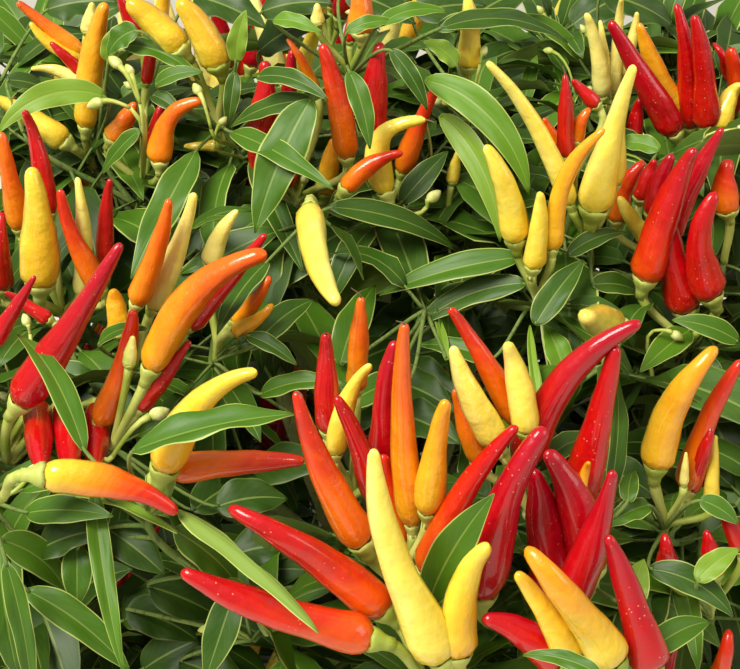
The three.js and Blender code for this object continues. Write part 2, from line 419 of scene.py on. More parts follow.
photo_trusses = {
    "front_left": [("ruby", (374, 640), (181, 571), 42, -6), ("ruby", (386, 612), (229, 507), 42, 8, 1)],
    "front_middle": [
        ("lemon", (443, 660), (374, 449), 50, -14, 0, CONE), ("honey", (458, 656), (489, 546), 40, -13),
        ("ruby", (423, 572), (517, 426), 31, -8, 1),
    ],
    "front_right": [
        ("tipped", (616, 664), (526, 547), 42, 2), ("gold", (573, 662), (517, 573), 30, 3),
        ("red", (560, 664), (482, 619), 38, 8, 1), ("crimson", (650, 668), (608, 536), 44, 3, 1, CONE),
    ],
    "front_corner": [("red", (648, 712), (677, 641), 29, 0, 1), ("flame", (712, 706), (729, 629), 27)],
    "crimson": [
        ("crimson", (482, 597), (545, 427), 46, -12), ("crimson", (590, 570), (546, 452), 46, 10, 1),
        ("crimson", (552, 600), (534, 470), 48, 4, 2), ("crimson", (566, 606), (613, 471), 44, 4, 0, CONE),
    ],
    "crimson_back": [
        ("crimson", (522, 466), (641, 322), 38, -22, 1), ("red", (571, 520), (616, 345), 38, 2, 2),
        ("amber", (573, 520), (589, 463), 16),
    ],
    "centre": [
        ("amber", (428, 514), (446, 400), 31, -3, 0, 2.0),
        ("blush", (412, 526), (405, 324), 29, -5, 1, 2.0),
        ("flame", (362, 545), (296, 391), 41, -7, 0, CONE), ("red", (378, 500), (336, 397), 28, 3, 1),
        ("flame", (400, 545), (383, 455), 26, 0, 2),
    ],
    "centre_back": [
        ("crimson", (383, 470), (395, 341), 32, -4, 2), ("yellow", (335, 455), (371, 365), 24, -9, 2),
        ("red", (328, 432), (326, 334), 26, 0, 2, 2.2), ("orange", (357, 390), (361, 297), 23, 0, 3, 2.2),
    ],
    "centre_right": [
        ("lemon", (497, 442), (453, 346), 33, -4), ("lemon", (527, 432), (507, 344), 31, 3),
        ("flame", (518, 425), (450, 308), 26, 3, 1), ("orange", (480, 462), (455, 390), 27, 0, 1),
    ],
    "left_orange": [
        ("blush", (150, 371), (267, 254), 35, -22, 0, ROD), ("red", (189, 328), (266, 234), 22, 0, 1),
        ("green", (129, 365), (133, 336), 15), ("flame", (100, 425), (133, 310), 28, 5, 2),
        ("red", (139, 410), (190, 341), 20, 0, 1),
    ],
    "left_yellow": [
        ("honey", (163, 472), (257, 372), 42, -20, 0, CONE), ("flame", (168, 470), (304, 461), 32, -2, 1),
    ],
    "left_dipped": [("dipped", (40, 475), (177, 514), 38, -13)],
    "left_red": [
        ("crimson", (19, 404), (121, 243), 42, 3, 0, CONE),
        ("crimson", (-8, 345), (35, 276), 22, 0, 0, CONE),
        ("red", (36, 405), (42, 475), 30, 0, 2, ROD, AWAY),
        ("red", (68, 405), (70, 475), 30, 0, 2, ROD, AWAY),
        ("red", (98, 408), (95, 470), 28, 0, 3, ROD, AWAY), ("red", (50, 320), (5, 292), 16, 0, 2),
    ],
    "left_edge": [
        ("honey", (40, 286), (31, 167), 41, 4), ("orange", (20, 230), (1, 132), 24, 0, 1),
        ("red", (50, 214), (24, 111), 22, 3, 1), ("flame", (102, 292), (60, 189), 23, -6),
        ("cream", (81, 297), (77, 177), 20, 5, 1), ("red", (106, 268), (110, 179), 20, -3, 1),
        ("red", (0, 290), (2, 212), 26, 0, 1),
    ],
    "left_middle": [
        ("orange", (136, 305), (169, 199), 25, 3), ("cream", (152, 310), (194, 193), 24, 3, 1),
        ("amber", (121, 333), (113, 291), 26, 0, 1),
    ],
    "left_small": [
        ("cream", (210, 265), (238, 210), 22, -4, 1), ("blush", (233, 321), (270, 276), 19, 4, 1),
        ("amber", (232, 332), (273, 304), 17, 4),
    ],
    "upper_left": [
        ("blush", (84, 55), (17, 2), 18, 0, 1), ("gold", (84, 60), (30, 22), 17, -6, 1),
        ("amber", (86, 128), (105, 3), 27, -4, 0, ROD), ("red", (84, 74), (50, 42), 15, 0, 1),
        ("cream", (84, 84), (31, 69), 14, 6, 1), ("yellow", (67, 143), (-9, 97), 26, 3),
        ("cream", (87, 32), (92, 3), 15, 0, 2),
    ],
    "upper_left_yellow": [
        ("gold", (219, 67), (177, 0), 32, 5, 0, ROD), ("gold", (181, 50), (128, 2), 32, 3, 0, ROD),
        ("yellow", (219, 146), (184, 146), 12, 0, 2),
    ],
    "upper_left_red": [
        ("orange", (160, 164), (203, 101), 25, -17), ("orange", (112, 140), (135, 103), 24, 0, 1),
        ("red", (150, 152), (162, 104), 20, 0, 2), ("red", (146, 84), (156, 26), 14, 0, 2),
        ("red", (136, 34), (118, -6), 16, 0, 2),
    ],
    "upper_reds": [
        ("red", (258, 136), (264, 62), 28, 4, 1), ("crimson", (286, 128), (292, 50), 20, 0, 2),
        ("red", (262, 188), (252, 122), 24, 0, 2), ("crimson", (284, 186), (300, 118), 24, 0, 2),
        ("blush", (316, 92), (287, 39), 13, 2), ("flame", (347, 159), (322, 44), 26, 3, 0, ROD),
        ("amber", (325, 194), (334, 138), 24, 0, 2),
    ],
    "pendant": [("lemon", (310, 207), (337, 303), 29, 7, 0, ROD, AWAY)],
    "upper_middle": [
        ("red", (375, 133), (381, 42), 27, -3, 1, ROD), ("flame", (402, 174), (437, 87), 22, -3, 2),
        ("yellow", (387, 194), (426, 120), 27, -30), ("flame", (344, 190), (403, 153), 22, -7, -1),
    ],
    "top_middle": [
        ("orange", (362, 34), (360, -30), 28), ("cream", (318, 24), (317, 3), 14),
        ("red", (350, 42), (350, 14), 13, 0, 1),
    ],
    "top_yellow": [("yellow", (468, 68), (467, -4), 26, 3, 1)],
    "small_yellow": [("yellow", (452, 182), (458, 150), 14, 0, 2)],
    "upper_right": [
        ("yellow", (516, 242), (485, 145), 31, 6), ("yellow", (533, 269), (540, 192), 24, 2),
        ("amber", (552, 251), (605, 129), 22, -16),
    ],
    "upper_right_tall": [
        ("lemon", (593, 212), (634, 65), 43, -3, 1, 0.9), ("lemon", (612, 186), (618, 95), 26, 0, 1),
        ("lemon", (571, 206), (487, 62), 21, 10, 1),
    ],
    "upper_right_small": [
        ("red", (566, 157), (565, 74), 20, 0, 1), ("orange", (575, 142), (590, 108), 18, -3, 1),
        ("red", (597, 106), (573, 80), 16, 0, 2), ("blush", (562, 160), (544, 118), 18, 0, 2),
    ],
    "top_right_pale": [
        ("cream", (603, 98), (586, 13), 19, 3, 1), ("cream", (606, 92), (600, 20), 14, 0, 2),
        ("cream", (613, 96), (622, -2), 14, 0, 2), ("cream", (622, 76), (637, 12), 14, 2, 2),
        ("red", (632, 150), (640, 100), 20, 0, 2),
    ],
    "top_right": [
        ("crimson", (676, 135), (610, 21), 29), ("amber", (681, 116), (639, 23), 24, -3, 1),
        ("red", (690, 129), (676, 4), 25, 4, 1), ("red", (708, 129), (694, 15), 27, 3),
        ("red", (733, 80), (713, 43), 14, 0, 2), ("yellow", (720, 128), (741, 85), 25, -4),
    ],
    "right": [
        ("berry", (645, 281), (695, 149), 37, -4), ("red", (687, 311), (666, 205), 37, -5, 1),
        ("red", (712, 298), (716, 192), 35, -15),
    ],
    "right_small": [
        ("crimson", (668, 240), (723, 128), 25, -3, 1), ("crimson", (654, 216), (673, 154), 25, -4, 1),
        ("flame", (617, 222), (644, 161), 23, -7, 2), ("yellow", (650, 240), (619, 196), 20, -3, 2),
        ("red", (640, 200), (655, 160), 20, 0, 3),
    ],
    "right_flame": [("flame", (728, 212), (730, 160), 27, -4, 1, ROD)],
    "end_on": [("lemon", (612, 324), (586, 317), 34, 0, 0, ROD, TOWARDS)],
    "right_low": [
        ("amber", (656, 468), (717, 347), 37, -13), ("flame", (687, 490), (742, 360), 27, -8, 1),
        ("red", (690, 492), (712, 418), 20, 0, 1), ("yellow", (711, 506), (715, 436), 17, 0, 1),
        ("green", (652, 472), (644, 450), 12), ("cream", (684, 485), (686, 452), 10),
    ],
    "right_shade": [
        ("red", (668, 570), (664, 533), 23, 0, 1), ("red", (715, 575), (706, 530), 23, 0, 1),
        ("red", (740, 550), (722, 500), 20, 0, 1),
    ],
}
photo_trusses = {name: [Pod(*row) for row in rows] for name, rows in photo_trusses.items()}
truss_layers = {  # trusses that stand as far away as another does
    "crimson_back": "crimson", "centre_back": "centre", "left_small": "left_middle",
    "upper_left_red": "upper_left_yellow", "top_middle": "upper_middle", "top_yellow": "upper_middle",
    "small_yellow": "upper_middle", "upper_right_tall": "upper_right", "upper_right_small": "upper_right",
    "top_right_pale": "top_right", "right_small": "right", "right_flame": "right",
}
truss_forks = {  # where a truss's stalks are seen to meet
    "left_orange": (112, 448), "left_dipped": (-12, 504), "left_red": (6, 470), "left_yellow": (150, 515),
    "left_small": (214, 362), "front_left": (432, 690), "crimson": (545, 655), "crimson_back": (556, 565),
    "centre": (396, 592), "centre_back": (352, 500), "upper_left": (94, 168),
    "upper_left_yellow": (222, 128), "upper_left_red": (142, 192), "upper_middle": (384, 216),
    "top_middle": (350, 78), "pendant": (316, 214), "upper_right": (537, 302),
    "upper_right_tall": (590, 248), "upper_right_small": (574, 190), "top_right_pale": (614, 128),
    "top_right": (697, 166), "right": (684, 352), "right_small": (655, 268), "right_low": (664, 530),
    "end_on": (606, 366),
}
dried_tips = {(326, 334), (361, 297), (405, 324), (296, 391), (450, 308), (426, 120), (565, 74)}
LAYER_DEPTH = 0.0075  # between a pod and the one before it
HIGHEST_TIP = 0.357

# The surface of the crown as the camera sees it, on a coarse net of sight lines, evened out.
NET_COLUMNS = 28
NET_ROWS = 26
NET_MARGIN = 90  # pixels outside the picture
SMOOTHING_ROUNDS = 4

mass_meshes = [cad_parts["foliage_" + name].data for name in mass_names]
crown_points = np.concatenate([node_points("foliage_" + name) for name in mass_names])
crown_faces = []
first_point = 0
for mesh in mass_meshes:
    crown_faces += [tuple(first_point + v for v in face.vertices) for face in mesh.polygons]
    first_point += len(mesh.vertices)
crown = BVHTree.FromPolygons([tuple(p) for p in crown_points], crown_faces)

net_across = np.linspace(-NET_MARGIN, PICTURE_WIDTH + NET_MARGIN, NET_COLUMNS)
net_down = np.linspace(-NET_MARGIN, PICTURE_HEIGHT + NET_MARGIN, NET_ROWS)
surface_net = np.full((NET_ROWS, NET_COLUMNS), np.nan)
for row, down in enumerate(net_down):
    for column, across in enumerate(net_across):
        line_of_sight = Vector(sight((across, down)))
        hit = crown.ray_cast(Vector(eye), line_of_sight)[0]
        if hit is not None:
            surface_net[row, column] = (np.array(hit) - eye) @ looking
for _ in range(SMOOTHING_ROUNDS):
    padded = np.pad(surface_net, 1, mode="edge")
    nine = [padded[r : r + NET_ROWS, c : c + NET_COLUMNS] for r in range(3) for c in range(3)]
    known = (~np.isnan(nine)).sum(0)
    surface_net = np.where(known > 0, np.nansum(nine, 0) / np.maximum(known, 1), np.nan)
surface_net = np.where(np.isnan(surface_net), np.nanmax(surface_net), surface_net)


def surface_distance(pixel):
    """How far from the camera's plane the crown's surface lies at a pixel, between the net's knots."""
    column = np.clip((pixel[0] + NET_MARGIN) / (net_across[1] - net_across[0]), 0, NET_COLUMNS - 1.001)
    row = np.clip((pixel[1] + NET_MARGIN) / (net_down[1] - net_down[0]), 0, NET_ROWS - 1.001)
    c, r = int(column), int(row)
    x, y = column - c, row - r
    upper = surface_net[r, c] * (1 - x) + surface_net[r, c + 1] * x
    lower = surface_net[r + 1, c] * (1 - x) + surface_net[r + 1, c + 1] * x
    return upper * (1 - y) + lower * y


def reaches(pods, foot_distance):
    """How far from the camera's plane the tips are of pods whose feet are at a distance."""
    return [foot_distance * (1 + p.lean * (p.tip[1] - p.base[1]) / FOCAL_LENGTH) for p in pods]


def truss_distance(pods):
    """How far away a truss of the photograph stands: its pods' tips reach the crown's surface on the average,
    and none rises above the crown's greatest height."""
    base_distance = []
    for pod in pods:
        rise = (pod.base[1] - pod.tip[1]) / FOCAL_LENGTH
        reach = surface_distance(pod.tip)
        base_distance.append(reach * (1 + pod.lean * rise))
    foot_distance = float(np.mean(base_distance))
    highest = max((eye + reach * sight(pod.tip))[2] for pod, reach in zip(pods, reaches(pods, foot_distance)))
    return foot_distance + max(0.0, highest - HIGHEST_TIP) / -looking[2]


def stand_truss(pods, foot_distance):
    """Places one truss: the two ends, side, bow, girth, ripeness and fullness of each pod."""
    placed = []
    for pod in pods:
        near = foot_distance + LAYER_DEPTH * pod.behind
        scale = near / FOCAL_LENGTH
        rightwards, downwards = pod.tip[0] - pod.base[0], pod.tip[1] - pod.base[1]
        base = eye + near * sight(pod.base)
        tip_distance = near + pod.lean * downwards * scale
        tip = eye + tip_distance * sight(pod.tip)
        side = unit(-downwards * picture_right - rightwards * picture_up)
        girth = pod.wide / 2 * scale
        placed.append((base, tip, side, pod.bow * scale, girth, RIPENESS[pod.ripe], pod.fullness))
    return placed


STALK_LENGTH = 0.015
FORK_DEPTH = 0.009  # behind the pods' calyx ends
DEEP_FORKS = {"pendant": 0.03, "left_dipped": 0.02, "end_on": 0.012}
UPRIGHT = 0.8  # how much a truss's shoot strives upwards beside the way its pods point
HANGING = 0.2  # a truss that rises less than this hangs
HANGING_AWAY = 0.6  # how much its stalk leans away from the camera
FOOT_DROP = 1.2  # from a truss's calyces down to its foot, in stalk lengths

up = np.array([0.0, 0.0, 1.0])
feet = []  # where a truss's stalks leave its shoot, and which way the shoot ends there
pod_rows = []
for name, pods in photo_trusses.items():
    placed = stand_truss(pods, truss_distance(photo_trusses[truss_layers.get(name, name)]))
    growth = np.mean([unit(tip - base) for base, tip, *_ in placed], axis=0) + UPRIGHT * up
    if growth[2] < HANGING:  # a hanging pod's stalk comes up out of the crown and turns over
        growth = up + HANGING_AWAY * looking
    growth = unit(growth)
    middle = np.mean([base for base, *_ in placed], axis=0)
    foot = middle - growth * STALK_LENGTH * FOOT_DROP
    if name in truss_forks:
        depth = in_picture(middle)[2] + DEEP_FORKS.get(name, FORK_DEPTH)
        foot = eye + depth * sight(truss_forks[name])
    pod_rows += [(*pod, len(feet)) for pod in placed]
    feet.append((foot, growth))
photo_pod_count = len(pod_rows)
photo_feet_count = len(feet)


# The other trusses stand evenly spaced over the rest of the crown, by seeded random choice, thinner on the
# skirt. Between them and below the photographed ones stand leafy shoots with no fruit.
TRUSS_TRIALS = 2600
TRUSS_SPACING = 0.046
TRUSS_OUTWARD = 0.45  # how much a truss leans the way the crown faces
TRUSS_DROP = 0.97  # from a truss's spot down to its foot, in lengths of stalk and pod
LOWEST_TRUSS = (0.075, 0.05)  # height, and the random share above it
PODS_IN_TRUSS = (2, 7)  # at least the first and fewer than the second
TRUSS_RIPENESS = (0.14, 0.92)
POD_TURN = 2.4  # radians from one pod to the next
POD_SPREAD = (0.1, 0.5)
POD_LENGTH = 0.050
POD_LENGTHS = (0.8, 1.12)  # of the usual length
POD_STALKS = (0.9, 1.4)  # of the usual stalk
POD_GIRTH = 0.0088
POD_GIRTHS = (0.75, 1.2)  # of the usual girth
POD_BOW = 0.0035
POD_FULLNESS = (1.2, 2.2)
TIP_CLEARANCE = 0.004  # below the highest tip
OUTWARD_CLEARANCE = 0.09
SURFACE_STEP = 0.002
LOWEST_FACING = -0.35  # how far down the crown's surface may face where something grows
HIDDEN_DEPTH = 0.10  # behind the side of the crown that shows
TIP_OVER_CROWN = 0.012
TIP_MARGINS = (60, 20, 90)  # pixels beside, above and below the picture that stay free of drawn pods
BARE_FROM = 450  # pixels from the left, from where no pods are seen behind the crown's edge
BARE_MARGIN = 150  # pixels above the picture that stay free of pods there

# How many spots for leafy shoots are tried, how far apart they stay, how far below its spot a shoot ends,
# and how far it keeps from all other feet. The windows of the horizon's shoots say how many are tried.
Shoots = namedtuple("Shoots", "trials spacing depth apart")
LEAFY = Shoots(4200, 0.0355, 0.06, 0.024)
INNER = Shoots(1600, 0.062, 0.11, 0.02)
COVER = Shoots(900, 0.046, 0.02, 0.022)
LOW = Shoots(2400, 0.052, 0.03, 0.016)
VALLEY = Shoots(2000, 0.06, 0.04, 0.018)
HORIZON = Shoots(None, None, 0.03, 0.012)
INNER_TOP = 0.24
LOW_TOP = 0.11
COVER_WINDOW = (-40, PICTURE_WIDTH + 40, 60, PICTURE_HEIGHT + 20)  # left, right, upper and lower edge
COVER_HEIGHTS = (0.07, 0.13)
COVER_REACH = 0.85  # of the dome's half axes
DOME = np.array([0.222, 0.2, 0.29])  # half axes of a smooth dome round the crown
DOME_FOOT = 0.02
HORIZON_WINDOWS = (  # left, right, upper and lower edge in pixels, and how many shoots are tried
    (-30, 150, -25, 70, 20),
    (350, 540, 0, 90, 14),
    (540, 770, -25, 60, 30),
)
HORIZON_HEIGHTS = (0.285, 0.335)
HORIZON_ENDS = (0.2, 0.19)  # to the sides and to the back
HORIZON_GROWTH = np.array([0, 0.2, 1.0])
VALLEY_RISE = (0.12, 0.9)
VALLEY_DEPTH = 0.05
LEAFY_OUTWARD = 0.7  # how much a leafy shoot leans the way the crown faces
LEAFY_UPRIGHT = 0.5
SHOOT_LENGTHS = (0.75, 1.25)  # of the usual depth
LOWEST_FOOT = 0.03

random = np.random.default_rng(2607)


def crown_spots(count):
    """Random places on the outer surface of the crown, with the way out of it at each: faces are drawn by
    their area, and a place counts as outer if its line outwards meets no other mass."""
    corners = crown_points[np.array(crown_faces)]
    normal = np.cross(corners[:, 1] - corners[:, 0], corners[:, 2] - corners[:, 0])
    area = np.linalg.norm(normal, axis=1)
    chosen = random.choice(len(area), count, p=area / area.sum())
    weights = random.dirichlet((1, 1, 1), count)
    places = (corners[chosen] * weights[..., None]).sum(1)
    outwards = unit(normal[chosen])
    kept = []
    for place, out in zip(places, outwards):
        open_way = unit(out + 0.6 * unit(place * np.array([1, 1, 0.4])))
        blocked = crown.ray_cast(Vector(place + SURFACE_STEP * out), Vector(open_way), OUTWARD_CLEARANCE)[0]
        if blocked is None and out[2] > LOWEST_FACING:
            kept.append((place, out))
    return kept


def shows_in_picture(place):
    """Whether a pod tip at a place on the crown would show among the photographed ones: it lies within the
    picture, and the crown doesn't stand between it and the camera."""
    across, down, _ = in_picture(place)
    beside, above, below = TIP_MARGINS
    above = BARE_MARGIN if across > BARE_FROM else above
    if not (-beside < across < PICTURE_WIDTH + beside and -above < down < PICTURE_HEIGHT + below):
        return False
    tip = place + TIP_OVER_CROWN * up
    struck = crown.ray_cast(Vector(eye), Vector(tip - eye))[3]
    return struck is None or struck > np.linalg.norm(tip - eye) - HIDDEN_DEPTH


def space_out(spots, spacing, allowed=lambda place: True, taken=()):
    """Takes the allowed spots in turn, each at least a spacing from all that were taken before it."""
    chosen = []
    taken = list(taken)
    for place, out in spots:
        if allowed(place) and all(np.linalg.norm(place - other) > spacing for other in taken):
            chosen.append((place, out))
            taken.append(place)
    return chosen


def ripe_near(share):
    """A pod's ripeness at its two ends about a share, the tip a little riper."""
    base = np.clip(share + random.normal(0, 0.1), 0.12, 0.95)
    return base, np.clip(base + abs(random.normal(0, 0.08)), 0.12, 0.99)


def seen_place(left, right, upper, lower, heights):
    """A random place that shows within a window of the picture, at a random height between two."""
    line_of_sight = sight((random.uniform(left, right), random.uniform(upper, lower)))
    return eye + line_of_sight * (eye[2] - random.uniform(*heights)) / -line_of_sight[2]


photo_tips = [foot + growth * (STALK_LENGTH + POD_LENGTH) for foot, growth in feet]
fruiting = space_out(
    crown_spots(TRUSS_TRIALS),
    TRUSS_SPACING,
    lambda place: not shows_in_picture(place)
    and place[2] > LOWEST_TRUSS[0] + LOWEST_TRUSS[1] * random.random(),
    photo_tips,
)
for place, out in fruiting:
    growth = unit(out * TRUSS_OUTWARD + UPRIGHT * up + random.normal(0, 0.1, 3))
    place = place - max(0.0, place[2] + TIP_CLEARANCE - HIGHEST_TIP) * up
    foot = place - growth * (STALK_LENGTH + POD_LENGTH) * TRUSS_DROP
    count = random.integers(*PODS_IN_TRUSS)
    share = random.uniform(*TRUSS_RIPENESS)
    turn = random.uniform(0, 2 * np.pi)
    first_side = unit(np.cross(growth, (0.3, 1.0, 0.1)))
    second_side = np.cross(growth, first_side)
    for i in range(count):
        spread = random.uniform(*POD_SPREAD)
        angle = turn + POD_TURN * i + random.normal(0, 0.2)
        way = unit(growth + spread * (math.cos(angle) * first_side + math.sin(angle) * second_side))
        base = foot + way * STALK_LENGTH * random.uniform(*POD_STALKS)
        tip = base + way * POD_LENGTH * random.uniform(*POD_LENGTHS)
        bow = random.normal(0, POD_BOW)
        girth = POD_GIRTH / 2 * random.uniform(*POD_GIRTHS)
        fullness = random.uniform(*POD_FULLNESS)
        side = unit(random.normal(0, 1, 3))
        pod_rows.append((base, tip, side, bow, girth, ripe_near(share), fullness, len(feet)))
    feet.append((foot, growth))
fruiting_count = len(feet)

leafy = space_out(crown_spots(LEAFY.trials), LEAFY.spacing)
inner = space_out(crown_spots(INNER.trials), INNER.spacing, lambda place: place[2] < INNER_TOP)
cover = []  # low shoots that close the view down to the ground between the trusses
for _ in range(COVER.trials):
    place = seen_place(*COVER_WINDOW, COVER_HEIGHTS)
    if np.hypot(place[0] / DOME[0], place[1] / DOME[1]) < COVER_REACH:
        cover.append((place, up))
cover = space_out(cover, COVER.spacing)
horizon = []  # tall leafy shoots at the crown's back corners, on sight lines above its edge
for *window, count in HORIZON_WINDOWS:
    for _ in range(count):
        place = seen_place(*window, HORIZON_HEIGHTS)
        if abs(place[0]) < HORIZON_ENDS[0] and place[1] < HORIZON_ENDS[1]:
            horizon.append((place, unit(HORIZON_GROWTH)))
low = space_out(crown_spots(LOW.trials), LOW.spacing, lambda place: place[2] < LOW_TOP)
valley = []  # where the crown's solids lie deep under the smooth dome round all of them
for _ in range(VALLEY.trials):
    turn = random.uniform(0, 2 * np.pi)
    rise = random.uniform(*VALLEY_RISE)
    out = np.array([math.cos(turn) * math.sqrt(1 - rise**2), math.sin(turn) * math.sqrt(1 - rise**2), rise])
    place = out * DOME + DOME_FOOT * up
    struck = crown.ray_cast(Vector(place), Vector(-out))[3]
    if struck is None or struck > VALLEY_DEPTH:
        valley.append((place, out))
valley = space_out(valley, VALLEY.spacing, lambda place: not shows_in_picture(place))
for spots, kind in (
    (leafy, LEAFY),
    (inner, INNER),
    (horizon, HORIZON),
    (low, LOW),
    (valley, VALLEY),
    (cover, COVER),
):
    for place, out in spots:
        growth = unit(out * LEAFY_OUTWARD + LEAFY_UPRIGHT * up + random.normal(0, 0.15, 3))
        foot = place - growth * kind.depth * random.uniform(*SHOOT_LENGTHS)
        foot[2] = max(foot[2], LOWEST_FOOT)
        if min(np.linalg.norm(foot - other) for other, _ in feet) > kind.apart:
            feet.append((foot, growth))

foot_place = np.array([foot for foot, _ in feet])
foot_growth = np.array([growth for _, growth in feet])


# The pods: tapering berries with a thick, glossy skin over a hollow middle, widest near the calyx and
# blunt at the tip. They ripen from cream through yellow and orange to red and crimson.
PODS_FACING = (21, 12)  # rings along a pod, and corners round it
PODS_ROUND = (14, 9)
SHOULDER = 0.13  # share of the length over which the calyx end rounds up to full girth
TIP_ROUNDING = (0.02, 0.4)  # share of the length over which the tip rounds off, at least and at most
RIPENESS_BAND = 0.03  # how much riper a pod's sunny side is
HOOK = 0.0014  # how far a pod bends aside near its tip

pod_columns = [np.array(column) for column in zip(*pod_rows)]
pod_base, pod_tip, pod_side, pod_bow, pod_girth, pod_ripe, pod_fullness, pod_foot = pod_columns
pod_axis = pod_tip - pod_base
pod_way = unit(pod_axis)
pod_side = unit(pod_side - (pod_side * pod_way).sum(1, keepdims=True) * pod_way)


def pod_line(share, picked=slice(None)):
    """The middle line of a pod: straight from calyx to tip, bowed sideways by its bow in a slightly late
    arc, with a small seeded hook near the tip."""
    t = share[..., None]
    arc = pod_bow[picked][:, None, None] * 4 * t * (1 - t) * (0.75 + 0.5 * t)
    hook = pod_hook[picked][:, None, None] * t**3 * (1 - t) * 9
    across = np.cross(pod_way, pod_side)[picked][:, None]
    straight = pod_base[picked][:, None] + t * pod_axis[picked][:, None]
    return straight + arc * pod_side[picked][:, None] + hook * across


pod_hook = random.normal(0, HOOK, len(pod_rows))
pod_phase = random.uniform(0, 2 * np.pi, (len(pod_rows), 3))
pod_taper = np.clip(0.95 - 0.13 * pod_fullness + random.normal(0, 0.02, len(pod_rows)), 0.3, 0.82)
pod_length = np.linalg.norm(pod_axis, axis=1)
pod_rounding = np.clip(1.1 * (1 - pod_taper) * pod_girth / pod_length, *TIP_ROUNDING)


def pod_skins(picked, rings, around):
    """Pods as rings round their lines. The radius is the girth times a quarter-round shoulder, a taper that
    steepens towards the tip, and a rounded end, with three shallow lobes and a slow waviness."""
    t = (1 - np.cos(np.pi * np.arange(rings) / (rings - 1))) / 2
    shoulder = np.sqrt(1 - (1 - np.minimum(t / SHOULDER, 1)) ** 2)
    rounding = pod_rounding[picked][:, None]
    ending = np.sqrt(1 - (np.maximum(t - 1 + rounding, 0) / rounding) ** 2)
    taper = 1 - pod_taper[picked][:, None] * t ** pod_fullness[picked][:, None]
    outline = np.maximum(taper * shoulder * ending, 0.03)
    angle = 2 * np.pi * np.arange(around) / around
    a, b, c = (pod_phase[picked][:, i, None, None] for i in range(3))
    lobes = 1 + 0.05 * np.cos(3 * angle + a + 2 * t[:, None]) + 0.045 * np.sin(9 * t[:, None] + b)
    dents = 1 + 0.045 * np.sin(2 * angle + c + 9 * t[:, None]) + 0.022 * np.sin(angle + a + 23 * t[:, None])
    radius = pod_girth[picked][:, None, None] * outline[..., None] * lobes * dents
    line = pod_line(np.broadcast_to(t, (len(pod_girth[picked]), rings)), picked)
    ripe = pod_ripe[picked]
    eased = t * t * (3 - 2 * t)
    ripeness = ripe[:, :1] + (ripe[:, 1:] - ripe[:, :1]) * eased
    ripeness = ripeness[..., None] + RIPENESS_BAND * np.cos(angle)
    maps = np.stack([np.broadcast_to(t[:, None], ripeness.shape), 0.02 + 0.96 * ripeness], axis=-1)
    return skins(line, radius, pod_side[picked], around), (maps, np.roll(maps, -1, axis=2))


RIPE_COLOURS = [
    (0.03, "a9b94a"), (0.12, "e4dd84"), (0.20, "f2e37a"), (0.25, "f4df56"), (0.31, "e8c730"),
    (0.42, "ea9c10"), (0.54, "e86a05"), (0.66, "d42d05"), (0.80, "be0408"), (0.97, "ae001e"),
]
pod_skin, pod_shader, where = new_finish(
    "pod_skin",
    Specular_IOR_Level=0.28,
    Coat_Weight=0.75,
    Coat_Roughness=0.09,
    Subsurface_Weight=0.12,
    Subsurface_Radius=(0.004, 0.0015, 0.0006),
    Subsurface_Scale=1.0,
)
pattern = where.node("ShaderNodeUVMap", {"uv_map": "OFBake"})
along_pod = pattern.part(0)
ripe_here = pattern.part(1)
cloud = where.noise(130.0, 3.0, 0.55)
blotch = where.node("ShaderNodeMapping", None, {"Vector": pattern, "Scale": (4.0, 26.0, 1.0)}).noise(1.0)
ripe_cloudy = ripe_here + (blotch - 0.5) * 0.12 + (cloud - 0.5) * 0.04
ripe_colours = where.node("ShaderNodeValToRGB", {"stops": RIPE_COLOURS}, {0: ripe_cloudy})
greenish = along_pod.band(0.07, 0.0) * ripe_here.band(0.5, 0.25) * 0.5
skin_colour = greenish.mixed(ripe_colours, colour("b4bb3c"))
cells = where.node("ShaderNodeTexVoronoi", {"feature": "F1"}, {"Vector": where, "Scale": 560.0})
specks = cells.band(0.16, 0.08) * where.noise(60.0).band(0.46, 0.58) * ripe_here.band(0.55, 0.75) * 0.55
waviness = where.noise(95.0) * 0.65 + where.noise(240.0, 3.0, 0.6) * 0.35
feed(pod_shader, {
    "Base Color": specks.mixed(skin_colour, colour("f0a890")),
    "Roughness": 0.3 + cloud * 0.14,
    "Normal": waviness.bump(0.5, 0.003),
})

for name, picked, fineness in (
    ("pods_facing", slice(0, photo_pod_count), PODS_FACING),
    ("pods_round", slice(photo_pod_count, None), PODS_ROUND),
):
    skin, maps = pod_skins(picked, *fineness)
    ring_piece(name, skin, pod_skin, maps=maps)


# The twigs: green shoots that grow on from the end of every bough to the feet of its trusses and to its
# leafy tips. A shoot forks wherever the tips that it feeds part, and it thins at every fork.
FORK_SHARE = 0.36
FORK_JITTER = 0.002
TIP_RADIUS = 0.0012
PIPE_POWER = 0.31  # a shoot's radius goes with this power of the number of tips that it feeds
BOUGH_OVERLAP = 0.004  # how far a bough's first shoot starts inside it
TWIG_CLEARANCE = 0.012  # over the ground
TWIG_STIFFNESS = 0.7
TWIG_RINGS = 9
TWIG_ROUND = 5
GROWING_TIP = 0.7  # how much of its girth a leafy shoot loses in its last stretch

shoots = []
middles = np.array([mass_middle[name] for name in mass_names])
foot_mass = np.argmin(np.linalg.norm(foot_place[:, None] - middles, axis=2), axis=1)


